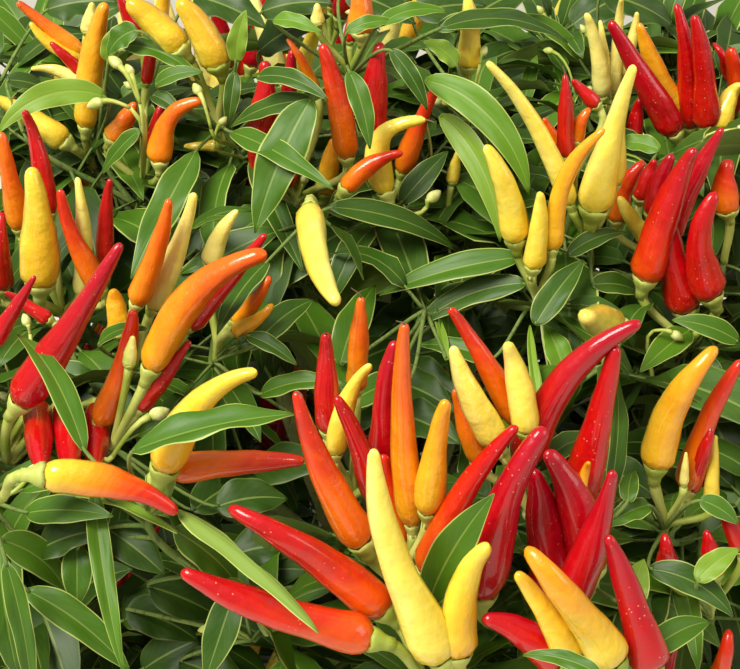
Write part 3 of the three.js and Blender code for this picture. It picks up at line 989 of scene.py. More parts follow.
def grow(start, heading, tips):
    """The branching rule. A shoot with one tip left runs to it. Any other runs part of the way to the middle
    of its tips and forks, and each fork takes the tips on its side of the direction they spread in most."""
    if len(tips) == 1:
        tip = tips[0]
        shoots.append((start, heading, foot_place[tip], foot_growth[tip], 1, tip))
        return
    middle = foot_place[tips].mean(0)
    fork = start + FORK_SHARE * (middle - start) + random.normal(0, FORK_JITTER, 3)
    onwards = unit(unit(middle - start) + 0.5 * heading)
    shoots.append((start, heading, fork, onwards, len(tips), -1))
    spread = foot_place[tips] - middle
    widest = np.linalg.svd(spread)[2][0]
    order = np.argsort(spread @ widest)
    half = len(tips) // 2
    grow(fork, onwards, tips[order[:half]])
    grow(fork, onwards, tips[order[half:]])


for number, name in enumerate(mass_names):
    end, heading = bough_end[name]
    tips = np.flatnonzero(foot_mass == number)
    if len(tips):
        grow(end - heading * BOUGH_OVERLAP, heading, tips)

# Each shoot's start, the way it leaves, its end and the way it arrives, how many tips it feeds and its tip.
*shoot_ends, shoot_load, shoot_tip = (np.array(column) for column in zip(*shoots))


def bent_path(start, leaves, end, arrives, share, stiffness=0.9):
    """A cubic curve that leaves start in one direction and arrives at end in another, at shares of its way.
    Its pull at each end is the distance between them times its stiffness."""
    pull = stiffness * np.linalg.norm(end - start, axis=-1, keepdims=True)[:, None]
    t = share[..., None]
    return (
        (2 * t**3 - 3 * t**2 + 1) * start[:, None]
        + (t**3 - 2 * t**2 + t) * pull * leaves[:, None]
        + (3 * t**2 - 2 * t**3) * end[:, None]
        + (t**3 - t**2) * pull * arrives[:, None]
    )


# A leafy shoot is left out where it would pass before a photographed pod. What shows at each cell of the
# picture is how far away the nearest of those pods is, and later on also of the photographed leaves.
VIEW_CELL = 4  # pixels
VIEW_MARGIN = 30  # pixels
NOTHING_SHOWN = 9.0  # farther away than any piece
HIDING_SHARE = 0.05  # of a shoot or a leaf that may stand before what shows
VIEW_PODS = (80, 36)  # rings and corners, fine enough to leave no cell out
VIEW_STEPS = 40  # along a shoot
view_columns = (PICTURE_WIDTH + 2 * VIEW_MARGIN) // VIEW_CELL
view_rows = (PICTURE_HEIGHT + 2 * VIEW_MARGIN) // VIEW_CELL
nearest = np.full(view_columns * view_rows, NOTHING_SHOWN)


def view_cell(points):
    """The cell of the picture that each point shows in, and its distance. Points outside get the last."""
    across, down, distance = in_picture(points)
    column = ((across + VIEW_MARGIN) // VIEW_CELL).astype(int)
    row = ((down + VIEW_MARGIN) // VIEW_CELL).astype(int)
    out = (column < 0) | (column >= view_columns) | (row < 0) | (row >= view_rows)
    return np.where(out, view_columns * view_rows - 1, row * view_columns + column), distance


def note_shown(points):
    """Enters points of a skin among what shows in the picture."""
    cell, distance = view_cell(points.reshape(-1, 3))
    np.minimum.at(nearest, cell, distance)


def hides(points):
    """Which share of each row of points would stand before what shows there."""
    cell, distance = view_cell(points)
    return ((distance < nearest[cell]) & (nearest[cell] < NOTHING_SHOWN)).mean(1)


note_shown(pod_skins(slice(0, photo_pod_count), *VIEW_PODS)[0])
shoot_course = bent_path(*shoot_ends, np.linspace(0, 1, VIEW_STEPS)[None], TWIG_STIFFNESS)
kept_shoot = (shoot_tip < fruiting_count) | (hides(shoot_course) < HIDING_SHARE)
kept_tips = np.concatenate([[0], np.cumsum(kept_shoot & (shoot_tip >= 0))])  # in the order they grew
first_fed = np.arange(len(shoots))
last_fed = first_fed + 2 * shoot_load - 1
kept_shoot &= kept_tips[last_fed] > kept_tips[first_fed]  # a fork that feeds no tip goes too
shoot_ends = [column[kept_shoot] for column in shoot_ends]
shoot_load, shoot_tip = shoot_load[kept_shoot], shoot_tip[kept_shoot]

share = np.linspace(0, 1, TWIG_RINGS)[None]
twig_line = bent_path(*shoot_ends, share, TWIG_STIFFNESS)
twig_line[..., 2] = np.maximum(twig_line[..., 2], TWIG_CLEARANCE)
start_radius = TIP_RADIUS * shoot_load**PIPE_POWER
end_radius = np.where(shoot_load > 1, TIP_RADIUS * (shoot_load * 0.6) ** PIPE_POWER, TIP_RADIUS * 0.95)
twig_radius = start_radius[:, None] * (1 - share) + end_radius[:, None] * share
twig_radius = twig_radius * (1 + 0.07 * np.sin(17 * share + 2 * np.arange(len(shoot_tip))[:, None]))
twig_radius = twig_radius * (1 - GROWING_TIP * (shoot_tip >= fruiting_count)[:, None] * share**8)
off_line = unit(np.cross(shoot_ends[2] - shoot_ends[0], (0.37, 0.61, 0.7)))
twig_bark = make_bark("twig_bark", "5f7a2f", "76893f", "46592a")
ring_piece("twigs", skins(twig_line, twig_radius, off_line, TWIG_ROUND), twig_bark)


# The calyx and stalk of every pod: a pale green shallow cup that hugs the pod's shoulder in five low lobes,
# on a curved stalk that joins the others of its truss at the shoot's fork.
STALK_RADIUS = 0.00125
STALK_HEAD_RADIUS = 0.0016
STALK_RINGS = 9
STALK_ROUND = 6
CALYX_ROUND = 10
CALYX_RIM = 0.28  # how far it reaches up the pod, in pod radii
LOBE_HEIGHT = 0.0003

share = np.linspace(0, 1, STALK_RINGS)[None]
stalk_start = foot_place[pod_foot]
bow_way = unit(pod_line(np.full((len(pod_rows), 1), 0.02))[:, 0] - pod_base)
stalk_heads = pod_base - bow_way * pod_girth[:, None] * 0.6
stalk_line = bent_path(stalk_start, unit(foot_growth[pod_foot] + 0.6 * pod_way), stalk_heads, bow_way, share)
small_girth = np.minimum(pod_girth / (POD_GIRTH / 2), 1.2)[:, None]
stalk_radius = (STALK_RADIUS + (STALK_HEAD_RADIUS - STALK_RADIUS) * share**2) * (0.55 + 0.45 * small_girth)
stalk_rings = skins(stalk_line, stalk_radius, pod_side, STALK_ROUND)

calyx_along = np.array([-1.0, -0.62, -0.42, -0.22, 0.04, CALYX_RIM, 0.12])  # in pod radii from the pod's base
calyx_spread = np.array([0.0, 0.05, 0.24, 0.60, 0.90, 1.0, 0.5])  # from the stalk's radius to the rim's
turn = 2 * np.pi * np.arange(CALYX_ROUND) / CALYX_ROUND
calyx_line = pod_base[:, None] + pod_girth[:, None, None] * calyx_along[:, None] * bow_way[:, None]
rim_share = np.minimum(CALYX_RIM * pod_girth / pod_length / SHOULDER, 1)
rim_radius = pod_girth * (np.sqrt(1 - (1 - rim_share) ** 2) + 0.05)
stalk_head = STALK_HEAD_RADIUS * small_girth
calyx_radius = stalk_head + calyx_spread * (rim_radius[:, None] - stalk_head)
calyx_rings = skins(calyx_line, calyx_radius, pod_side, CALYX_ROUND, bow_way[:, None])
lobe_reach = np.array([0, 0, 0, 0.1, 0.5, 1.0, 0.3])[:, None] * np.cos(5 * turn)
calyx_rings += LOBE_HEIGHT * lobe_reach[None, ..., None] * bow_way[:, None, None]

stalk_skin, stalk_shader, where = new_finish("stalk_skin", Specular_IOR_Level=0.4)
fibres = where.noise(800.0, 3.0, 0.6)
feed(stalk_shader, {
    "Base Color": where.noise(75.0, 3.0).band(0.35, 0.65).mixed(colour("93a43a"), colour("c4cb6c")),
    "Roughness": 0.38 + fibres * 0.2,
    "Normal": fibres.bump(0.3, 0.0003),
})
ring_piece("pod_stalks", stalk_rings, stalk_skin)
ring_piece("calyces", calyx_rings, stalk_skin)


# The leaves that the photograph shows clearly: lance-shaped blades by the pixels of stalk end and tip,
# their width in pixels, how many degrees they arch, their roll about their own line, how many metres they
# stand before the layer in which the trusses have their feet, how far their halves fold up, their tint, and
# by how many metres the tip is nearer to the camera than the stalk end.
# The pale tint is partly painted light, for leaves that catch it, and the dark tints from DARK_SHADE on are
# partly painted shade.
ANY_TINT = -1
PALE_LIT = 4
DARK_SHADE = 5
LEAF_DEFAULTS = (30, 0, 0.010, 18, ANY_TINT, 0)  # from arch on
Leaf = namedtuple("Leaf", "base tip wide arch roll before fold tint nearer", defaults=LEAF_DEFAULTS)
photo_leaves = [
    ((311, 99), (255, 233), 46, 20, 8, 0.024, 18, 1), ((231, 132), (333, 189), 24, 30, 0, 0.030, 18, 1),
    ((257, 77), (328, 100), 20, 50, 10, 0.030, 25, 0), ((311, 101), (230, 127), 22, 30, -10, 0.022),
    ((196, 151), (131, 279), 34, 20, 10, 0.014, 18, 1), ((139, 130), (102, 174), 17, 20, 0, 0.030),
    ((106, 97), (-2, 134), 26, 80, -20, 0.030, 10, PALE_LIT), ((349, 71), (370, 149), 22, 30, 0, 0.034, 18, 1),
    ((252, 158), (303, 272), 26, 20, 0, 0.008), ((267, 262), (217, 334), 24, 20, 15, 0.028, 30),
    ((330, 207), (456, 250), 26, 40, 0, 0.010, 18, 0), ((441, 28), (568, 43), 22, 45, 0, 0.028, 30),
    ((391, 50), (427, 110), 17, 40, 10, 0.030, 18, 0), ((425, 80), (529, 195), 34, 75, 20, 0.020, 24, 3),
    ((440, 115), (500, 242), 27, 60, 25, 0.014, 26, PALE_LIT),
    ((521, 257), (379, 295), 30, 30, 0, 0.012, 28, 1), ((535, 325), (584, 260), 30, 30, 0, 0.012, 30, 0),
    ((568, 255), (626, 232), 18, 30, 10, 0.014), ((526, 283), (412, 330), 28, 30, 0, 0.005, 28, 0),
    ((401, 203), (448, 151), 26, 20, 0, 0.006), ((84, 450), (16, 334), 22, 40, 15, 0.046, 24, 1),
    ((132, 451), (294, 414), 40, 24, -30, 0.079, 36, 1), ((94, 491), (123, 672), 24, 30, 0, 0.030, 34, 2),
    ((179, 511), (318, 633), 30, 34, 150, 0.020, 58, PALE_LIT, 0.030),
    ((6, 562), (32, 700), 26, 20, 10, 0.022, 36, 1), ((26, 590), (130, 672), 32, 30, 0, 0.014, 30, 1),
    ((26, 513), (113, 516), 28, 30, 10, 0.014), ((77, 495), (177, 533), 12, 20, -20, 0.018, 40, PALE_LIT),
    ((428, 604), (494, 494), 37, 20, 0, 0.015, 16, 1, 0.024),
    ((540, 405), (530, 325), 14, 20, 10, 0.008, 50, PALE_LIT), ((565, 375), (545, 325), 28, 20, 10, 0.004, 20),
    ((610, 494), (615, 374), 22, 30, 30, 0.002, 30), ((649, 569), (733, 617), 28, 70, 10, 0.018, 16, 0),
    ((634, 607), (644, 559), 26, 20, 0, 0.020, 10, PALE_LIT),
    ((697, 581), (739, 549), 22, 40, 0, 0.024, 20, PALE_LIT), ((646, 655), (710, 622), 25, 50, 0, 0.024, 20),
    ((600, 675), (523, 655), 16, 40, 0, 0.036, 24), ((255, 345), (313, 300), 30, 40, 0, 0.018, 30),
    ((247, 335), (297, 365), 18, 40, 0, 0.020, 30), ((260, 395), (345, 385), 22, 40, 0, 0.008, 30),
    ((340, 365), (375, 285), 35, 30, 0, 0.004, 20, 1), ((98, 345), (150, 330), 13, 60, 0, 0.032, 30),
    ((174, 530), (239, 588), 35, 30, 0, 0.006), ((235, 590), (205, 680), 35, 30, 0, 0.006),
    ((77, 546), (77, 608), 30, 30, 0, 0.012), ((0, 540), (66, 592), 30, 40, 0, 0.006),
    ((447, 360), (418, 290), 10, 30, 0, 0.004, 50, PALE_LIT), ((494, 290), (415, 325), 30, 40, 0, 0.002, 24),
    ((492, 360), (418, 345), 22, 40, 0, 0.002, 24), ((592, 285), (642, 295), 22, 40, 0, 0.008, 24, 0),
    ((660, 150), (612, 144), 18, 40, 0, 0.014), ((739, 342), (672, 320), 22, 40, 0, 0.018, 18, 1),
    ((720, 395), (705, 350), 16, 40, 0, 0.004), ((700, 500), (738, 524), 20, 40, 0, 0.024),
    ((650, 505), (604, 528), 20, 40, 0, 0.014), ((628, 502), (634, 470), 18, 40, 0, 0.020),
    ((120, 45), (200, 80), 20, 50, 0, 0.016), ((108, 62), (122, 24), 20, 30, 0, 0.016, 20, PALE_LIT),
    ((236, 62), (246, 10), 20, 30, 0, 0.012, 20, PALE_LIT), ((137, 30), (108, 55), 25, 50, 0, 0.020),
    ((155, 85), (203, 72), 16, 50, 0, 0.018), ((152, 95), (180, 115), 16, 50, 0, 0.018),
    ((235, 72), (228, 126), 16, 40, 0, 0.016), ((6, 80), (48, 90), 18, 30, 0, 0.002, 24, DARK_SHADE),
    ((39, 165), (94, 175), 20, 30, 0, 0.002, 24, DARK_SHADE), ((273, 20), (321, 33), 16, 50, 0, 0.026),
    ((347, 32), (394, 22), 14, 50, 0, 0.026), ((379, 25), (447, 12), 16, 50, 0, 0.026),
    ((437, 30), (494, 24), 18, 50, 0, 0.022), ((457, 66), (423, 42), 20, 50, 0, 0.020, 20, PALE_LIT),
    ((520, 420), (560, 490), 24, 30, 0, 0.002), ((410, 380), (330, 420), 26, 30, 0, 0.002),
    ((690, 330), (640, 372), 26, 30, 0, 0.006), ((36, 552), (104, 530), 34, 30, 0, 0.008, 24, DARK_SHADE),
    ((106, 528), (164, 574), 38, 30, 0, 0.006, 24, DARK_SHADE),
]
# These leaves get a dark tint as painted shade, down where the inside of the crown lies in shadow.
deep_leaves = [  # the middles of dark leaves that are seen far down between the trusses
    (184, 602), (217, 626), (178, 652), (216, 677), (266, 553), (158, 604), (525, 538), (478, 326),
    (229, 493), (424, 382), (515, 585), (411, 319), (448, 323), (272, 574), (96, 587), (240, 632),
    (436, 355), (370, 362), (424, 428), (290, 470), (367, 412), (162, 625), (252, 503), (500, 6), (230, 12),
    (297, 8), (294, 34), (380, 8), (450, 10), (607, 8), (637, 10), (82, 6), (374, 326), (418, 396),
    (504, 338), (728, 258), (621, 482),
]
DEEP_LEAF_REACH = 36  # pixels from the middle to either end
DEEP_LEAF_KINDS = ((-16, -0.026), (4, -0.036), (18, -0.046))  # slant in pixels, and metres before the layer
for number, (across, down) in enumerate(deep_leaves):
    slant, before = DEEP_LEAF_KINDS[number % len(DEEP_LEAF_KINDS)]
    ends = ((across - DEEP_LEAF_REACH, down + slant), (across + DEEP_LEAF_REACH, down - slant))
    photo_leaves.append((*ends, 40, 30, 0, before, 20, DARK_SHADE))
photo_leaves = [Leaf(*row) for row in photo_leaves]
LEAF_FACES_CAMERA = 0.55  # share of a photographed leaf's normal that points at the camera, not upwards
LEAF_TINTS = 8
LEAF_THICKNESS = 0.00034
STALK_WIDTH = 0.0005
SHOWN_LEAST = 0.75  # how little of its width a turned leaf is taken to show
LAYER_EVENNESS = 30  # pixels
foot_across, foot_down, foot_distance = in_picture(foot_place[:photo_feet_count])


def foot_layer(pixel):
    """How far away the layer of the trusses' feet is at a pixel: the mean of their distances, each weighed
    by the inverse fourth power of how far off it is in the picture."""
    apart = np.hypot(foot_across - pixel[0], foot_down - pixel[1]) + LAYER_EVENNESS
    weight = apart**-4.0
    return (foot_distance * weight).sum() / weight.sum()


leaf_rows = []  # base, heading, pitch, droop, length, width, roll
for leaf in photo_leaves:
    base_distance = foot_layer(leaf.base) - leaf.before
    tip_distance = foot_layer(leaf.tip) - leaf.before - leaf.nearer
    base = eye + base_distance * sight(leaf.base)
    tip = eye + tip_distance * sight(leaf.tip)
    chord = tip - base
    arch = math.radians(max(leaf.arch, 2))
    length = np.linalg.norm(chord) * (arch / 2) / math.sin(arch / 2)
    rise = math.asin(chord[2] / np.linalg.norm(chord))
    heading = math.atan2(chord[1], chord[0])
    level_side = np.array([-math.sin(heading), math.cos(heading), 0.0])
    plain_normal = np.cross(unit(chord), level_side)
    facing = unit(LEAF_FACES_CAMERA * unit(eye - base) + (1 - LEAF_FACES_CAMERA) * up)
    roll = math.atan2(-facing @ level_side, facing @ plain_normal) + math.radians(leaf.roll)
    side = math.cos(roll) * level_side + math.sin(roll) * plain_normal
    shown_side = np.array([side @ picture_right, side @ picture_up])
    shown_chord = unit(np.array([chord @ picture_right, chord @ picture_up]))
    shown = abs(shown_side[0] * shown_chord[1] - shown_side[1] * shown_chord[0])
    width = leaf.wide * base_distance / FOCAL_LENGTH / max(shown, SHOWN_LEAST) - STALK_WIDTH
    leaf_rows.append((*base, heading, rise + arch / 2, arch, length, width, roll))
photo_folds = np.radians([leaf.fold for leaf in photo_leaves])
photo_tints = np.array([leaf.tint for leaf in photo_leaves])
photo_leaf_count = len(leaf_rows)

# Every other leaf: they leave the last stretch of each shoot by turns of 137.5 degrees, rise, and then
# droop. The lower a leaf stands on its shoot, the longer it is.
LEAVES_PER_SHOOT = 11
GOLDEN_TURN = math.radians(137.5)
NEARLY_ROUND = 6.28  # radians
NODE_STEP = 0.05  # from one leaf to the next, as a share of the shoot
NODE_JITTER = 0.02
TOP_PITCH = 42  # degrees, of a leafy shoot's top leaf
TRUSS_PITCH = 22  # degrees, of the top leaf below a truss
PITCH_STEP = 3.5  # degrees lower from one leaf to the next
PITCH_SPREAD = 14
DROOP = (52, 24, 8)  # degrees: middle, spread and least
TOP_LENGTH = 0.028
LENGTH_STEP = 0.0022
LENGTH_SPREAD = 0.006
LENGTH_LIMITS = (0.020, 0.058)
WIDTHS = (0.24, 0.34)  # of the length
ROLL_SPREAD = 20  # degrees
LEAF_STALK_LENGTH = 0.009
tipped = np.flatnonzero(shoot_tip >= 0)
node_number = np.arange(LEAVES_PER_SHOOT)[None]
node_jitter = NODE_JITTER * random.random((len(tipped), LEAVES_PER_SHOOT))
node_share = 1 - NODE_STEP * node_number - node_jitter
node_place = bent_path(*(column[tipped] for column in shoot_ends), node_share, TWIG_STIFFNESS)
shape = node_share.shape
has_fruit = (shoot_tip[tipped] < fruiting_count)[:, None]
shoot_turn = random.uniform(0, NEARLY_ROUND, (len(tipped), 1))
heading = node_number * GOLDEN_TURN + shoot_turn + random.normal(0, 0.25, shape)
top_pitch = np.where(has_fruit, TRUSS_PITCH, TOP_PITCH)
pitch = np.radians(top_pitch - PITCH_STEP * node_number + random.normal(0, PITCH_SPREAD, shape))
droop = np.radians(np.abs(random.normal(*DROOP[:2], shape)) + DROOP[2])
length = TOP_LENGTH + LENGTH_STEP * node_number + random.normal(0, LENGTH_SPREAD, shape)
length = np.clip(length, *LENGTH_LIMITS)
width = length * random.uniform(*WIDTHS, shape)
roll = np.radians(random.normal(0, ROLL_SPREAD, shape))
level_part = np.cos(pitch)
leaf_way = np.stack([np.cos(heading) * level_part, np.sin(heading) * level_part, np.sin(pitch)], axis=-1)
blade_base = node_place + leaf_way * LEAF_STALK_LENGTH
shape_columns = [column.reshape(-1, 1) for column in (heading, pitch, droop, length, width, roll)]
drawn_leaves = np.concatenate([blade_base.reshape(-1, 3), *shape_columns], axis=1)
drawn_nodes = node_place.reshape(-1, 3)


def leaf_skins(rows, traits, along, columns):
    """Blades as flat closed skins. The middle line turns down evenly from its pitch by its droop. The half
    width is t^0.7 (1 - t)^1.05, brought to 1 at its widest; the halves fold up along the midrib, and
    the rims ripple. The under side is the same surface a leaf's thickness lower."""
    base, (heading, pitch, droop, length, width, roll) = rows[:, :3], rows[:, 3:].T
    twist, fold, ripple, phase, sickle = traits.T
    t = np.linspace(0, 1, along)
    grid = (slice(None), None)
    angle = pitch[grid] - droop[grid] * t
    level = np.stack([np.cos(heading), np.sin(heading), np.zeros_like(heading)], axis=1)[:, None]
    forward = length[grid] * (np.sin(pitch[grid]) - np.sin(angle)) / droop[grid]
    rise = length[grid] * (np.cos(angle) - np.cos(pitch[grid])) / droop[grid]
    side = np.cross(up, level)
    middle = base[:, None] + forward[..., None] * level + rise[..., None] * up
    middle = middle + (sickle * length)[:, None, None] * (t * t - t)[:, None] * side
    normal = -np.sin(angle)[..., None] * level + np.cos(angle)[..., None] * up
    lean = (roll[grid] + twist[grid] * t)[..., None]
    side, normal = np.cos(lean) * side + np.sin(lean) * normal, np.cos(lean) * normal - np.sin(lean) * side
    profile = t**0.7 * (1 - t) ** 1.05
    half_width = STALK_WIDTH * (1 - t) + 0.0002 + width[grid] / 2 * profile / profile.max()
    across = np.sin(np.linspace(np.pi / 2, -np.pi / 2, columns + 1))
    s = np.concatenate([across, across[-2:0:-1]])
    under = np.concatenate([np.zeros(columns + 1), np.ones(columns - 1)])
    opening = (fold[grid] * (0.35 + 0.65 * np.sin(np.pi * t)))[..., None]
    breadth = half_width[..., None] * s * np.cos(opening)
    waves = np.sin(2 * np.pi * (2.6 * t[:, None] + 0.5 * (s > 0)) + phase[:, None, None] + s)
    lift = half_width[..., None] * np.abs(s) * np.sin(opening)
    lift = lift + ripple[:, None, None] * half_width[..., None] * waves * s**2
    lift = lift - LEAF_THICKNESS * under - 0.25 * half_width[..., None] * s**4 * np.sin(opening) * 2
    return middle[:, :, None] + breadth[..., None] * side[:, :, None] + lift[..., None] * normal[:, :, None]


def leaf_maps(count, tints, along, columns):
    """Pattern coordinates: one tile for each tint and side, the midrib in its middle and the tip on top."""
    across = np.sin(np.linspace(np.pi / 2, -np.pi / 2, columns + 1))
    start = np.concatenate([across[:-1], across[:0:-1]])
    end = np.concatenate([across[1:], across[-2::-1]])
    lower = np.concatenate([np.zeros(columns), np.ones(columns)])
    t = np.linspace(0, 1, along)[:, None]
    shape = (count, along, 2 * columns)
    maps = []
    for s in (start, end):
        rightwards = (tints[:, None, None] + 0.5 + 0.46 * s) / LEAF_TINTS
        upwards = (lower + 0.04 + 0.92 * t) / 2
        maps.append(np.stack([np.broadcast_to(rightwards, shape), np.broadcast_to(upwards, shape)], axis=-1))
    return maps


def leaf_traits(count, chance):
    """Each leaf's twist, fold along the midrib, ripple of the rims, start of that ripple, sideways curve."""
    return np.stack([
        chance.normal(0, 0.35, count),
        np.radians(chance.uniform(8, 42, count)),
        chance.uniform(0.03, 0.22, count),
        chance.uniform(0, NEARLY_ROUND, count),
        chance.normal(0, 0.09, count),
    ], axis=1)


# A leaf is left out where it would leave the crown's box, cross a pod, or hide a photographed pod or leaf.
PHOTO_TWIST = 0.4  # of a drawn leaf's twist
BOX_ALLOWANCE = 0.009
GROUND_CLEARANCE = 0.02
POD_CLEARANCE = 0.0045
PHOTO_BLADE = (19, 8)  # rings along a blade, and columns across it
DRAWN_BLADE = (8, 4)
VIEW_BLADE = (60, 16)  # fine enough to leave no cell of the view out
photo_leaf_rows = np.array(leaf_rows)
photo_random = np.random.default_rng(41)
photo_traits = leaf_traits(photo_leaf_count, photo_random)
photo_traits[:, 0] *= PHOTO_TWIST
photo_traits[:, 1] = photo_folds
drawn_traits = leaf_traits(len(drawn_leaves), random)
photo_blades = leaf_skins(photo_leaf_rows, photo_traits, *PHOTO_BLADE)
coarse = leaf_skins(drawn_leaves, drawn_traits, *DRAWN_BLADE)[:, 1:, [0, 2, 4]]
coarse = coarse.reshape(len(drawn_leaves), -1, 3)

lowest = np.array(solid_box[0]) - BOX_ALLOWANCE
lowest[2] = GROUND_CLEARANCE
highest = np.array(solid_box[1]) + BOX_ALLOWANCE
inside = ((coarse > lowest) & (coarse < highest)).all((1, 2))

note_shown(leaf_skins(photo_leaf_rows, photo_traits, *VIEW_BLADE)[:, :, : VIEW_BLADE[1] + 1])
hiding = hides(coarse) > HIDING_SHARE

pod_knots = pod_line(np.broadcast_to(np.linspace(0, 1, 8), (len(pod_rows), 8))).reshape(-1, 3)
knot_tree = KDTree(len(pod_knots))
for number, knot in enumerate(pod_knots):
    knot_tree.insert(knot, number)
knot_tree.balance()
crossing = np.array([min(knot_tree.find(spot)[2] for spot in leaf) < POD_CLEARANCE for leaf in coarse])
kept_leaf = inside & ~hiding & ~crossing


# The finish of the leaves: dark green and softly shining above, paler and duller below, with a pale midrib,
# fine side veins that sink the upper side into quilting, and a thin yellow-green rim, partly the edge's own
# colour and partly a painted highlight where the edge catches the light.
VEIN_PAIRS = 7
# The tints run from dark to pale green. They are partly the leaves' own greens and partly painted light and
# shade: tints 3 and 4 stand for lit leaves, tints 5 to 7 for leaves in shade.
TINT_COLOURS = ("2f520d", "3d650e", "4b7413", "598218", "729428", "28450c", "32550e", "3f6610")
leaf_skin, leaf_shader, where = new_finish("leaf_skin", Specular_IOR_Level=0.33)
pattern = where.node("ShaderNodeUVMap", {"uv_map": "OFBake"})
tile_across = pattern.part(0) * LEAF_TINTS
tile_up = pattern.part(1) * 2
tint = where.math("FLOOR", tile_across) / LEAF_TINTS
below = where.math("FLOOR", tile_up)
off_midrib = where.math("ABSOLUTE", (where.math("FRACT", tile_across) - 0.5) / 0.46)
toward_tip = (where.math("FRACT", tile_up) - 0.04) / 0.92
stops = [(max(i - 0.1, 0.0) / LEAF_TINTS, code) for i, code in enumerate(TINT_COLOURS)]
upper_colours = where.node("ShaderNodeValToRGB", {"interpolation": "CONSTANT", "stops": stops}, {0: tint})
mottle = where.noise(110.0, 3.0)
blade_colour = (below * 0.7).mixed(upper_colours, colour("7c9242"))
blade_colour = ((mottle - 0.5).band(-0.2, 0.2) * 0.1).mixed(blade_colour, colour("6d8a30"))
vein_wave = toward_tip * VEIN_PAIRS - off_midrib * 2.6
off_vein = where.math("ABSOLUTE", where.math("FRACT", vein_wave) - 0.5)
vein = off_vein.band(0.09, 0.02) * off_midrib.band(0.97, 0.8)
veined = (vein * 0.045).mixed(blade_colour, colour("93a852"))
ribbed = (off_midrib.band(0.07, 0.03) * 0.42).mixed(veined, colour("94a850"))
# The pale rim is partly painted highlight: strong on the lighter tints of lit leaves and faint on the dark
# tints of shaded ones.
rim_and_glint = (tint * LEAF_TINTS).band(4.6, 4.4) * 0.6 + 0.15  # fainter on the dark tints
quilting = off_vein.band(0.0, 0.5) * 0.04 + off_midrib.band(0.0, 0.2) * 0.4
feed(leaf_shader, {
    "Base Color": (off_midrib.band(0.91, 0.95) * rim_and_glint).mixed(ribbed, colour("b9c46a")),
    "Roughness": 0.4 + below * 0.25 + mottle * 0.14,
    "Normal": (quilting + mottle * 0.6).bump(0.4, 0.0005),
})

PHOTO_TINT_CHANCES = (0.45, 0.37, 0.14, 0.04)
# The dark tints that most drawn leaves get are partly painted shade.
SHOOT_TINT_CHANCES = (0.13, 0.12, 0.08, 0.05, 0.02, 0.16, 0.22, 0.22)
SHOOT_TINT_SHARE = 0.75  # of the leaves have their shoot's tint, the others a dark one
usual_tints = photo_random.choice(len(PHOTO_TINT_CHANCES), photo_leaf_count, p=PHOTO_TINT_CHANCES)
photo_tints = np.where(photo_tints == ANY_TINT, usual_tints, photo_tints)
shoot_tint = random.choice(LEAF_TINTS, (len(tipped), 1), p=SHOOT_TINT_CHANCES)
follows_shoot = random.random(shape) < SHOOT_TINT_SHARE
drawn_tints = np.where(follows_shoot, shoot_tint, random.integers(DARK_SHADE, LEAF_TINTS, shape)).ravel()
drawn_mass = np.repeat(foot_mass[shoot_tip[tipped]], LEAVES_PER_SHOOT)

maps = leaf_maps(photo_leaf_count, photo_tints, *PHOTO_BLADE)
ring_piece("leaves_facing", photo_blades, leaf_skin, maps=maps, sharp_columns=(0, PHOTO_BLADE[1]))
for group, tier, side in (
    ("top", "top", 0),
    ("shoulder", "shoulder", 0),
    ("skirt_front", "skirt", -1),
    ("skirt_back", "skirt", 1),
):
    members = [name for name in mass_names if name.startswith(tier) and mass_middle[name][1] * side >= 0]
    in_tier = np.isin(drawn_mass, [mass_names.index(name) for name in members]) & kept_leaf
    blades = leaf_skins(drawn_leaves[in_tier], drawn_traits[in_tier], *DRAWN_BLADE)
    maps = leaf_maps(in_tier.sum(), drawn_tints[in_tier], *DRAWN_BLADE)
    masses = ["foliage_" + name for name in members]
    ring_piece("leaves_" + group, blades, leaf_skin, masses, maps, (0, DRAWN_BLADE[1]))


# The leaf stalks: thin green petioles of the shoots' own soft wood. Each grows from a node of its shoot and
# runs on a little way into its blade.
PETIOLE_RADIUS = 0.00062
PETIOLE_STIFFNESS = 0.5
PETIOLE_OVERLAP = 0.001  # how far it runs on into the blade
photo_base = photo_leaf_rows[:, :3]
twig_points = twig_line.reshape(-1, 3)
nearest_twig = np.array([twig_points[np.argmin(((twig_points - base) ** 2).sum(1))] for base in photo_base])


def petiole_piece(name, start, leaf_lines, rings, around):
    """Petioles from their nodes to their blades, which they enter along the blade's own direction."""
    level = np.stack([np.cos(leaf_lines[:, 3]), np.sin(leaf_lines[:, 3]), np.zeros(len(leaf_lines))], axis=1)
    arrives = np.cos(leaf_lines[:, 4:5]) * level + np.sin(leaf_lines[:, 4:5]) * up
    end = leaf_lines[:, :3] + arrives * PETIOLE_OVERLAP
    leaves_node = unit(unit(end - start) + 0.3 * up)
    share = np.linspace(0, 1, rings)[None]
    line = bent_path(start, leaves_node, end, arrives, share, PETIOLE_STIFFNESS)
    radius = np.broadcast_to(PETIOLE_RADIUS * (1.15 - 0.35 * share), (len(leaf_lines), rings))
    off_line = unit(np.cross(arrives, (0.2, 0.3, 1.0)))
    ring_piece(name, skins(line, radius, off_line, around), twig_bark)


petiole_piece("leaf_stalks_facing", nearest_twig, photo_leaf_rows, 12, 6)
petiole_piece("leaf_stalks", drawn_nodes[kept_leaf], drawn_leaves[kept_leaf], 4, 3)


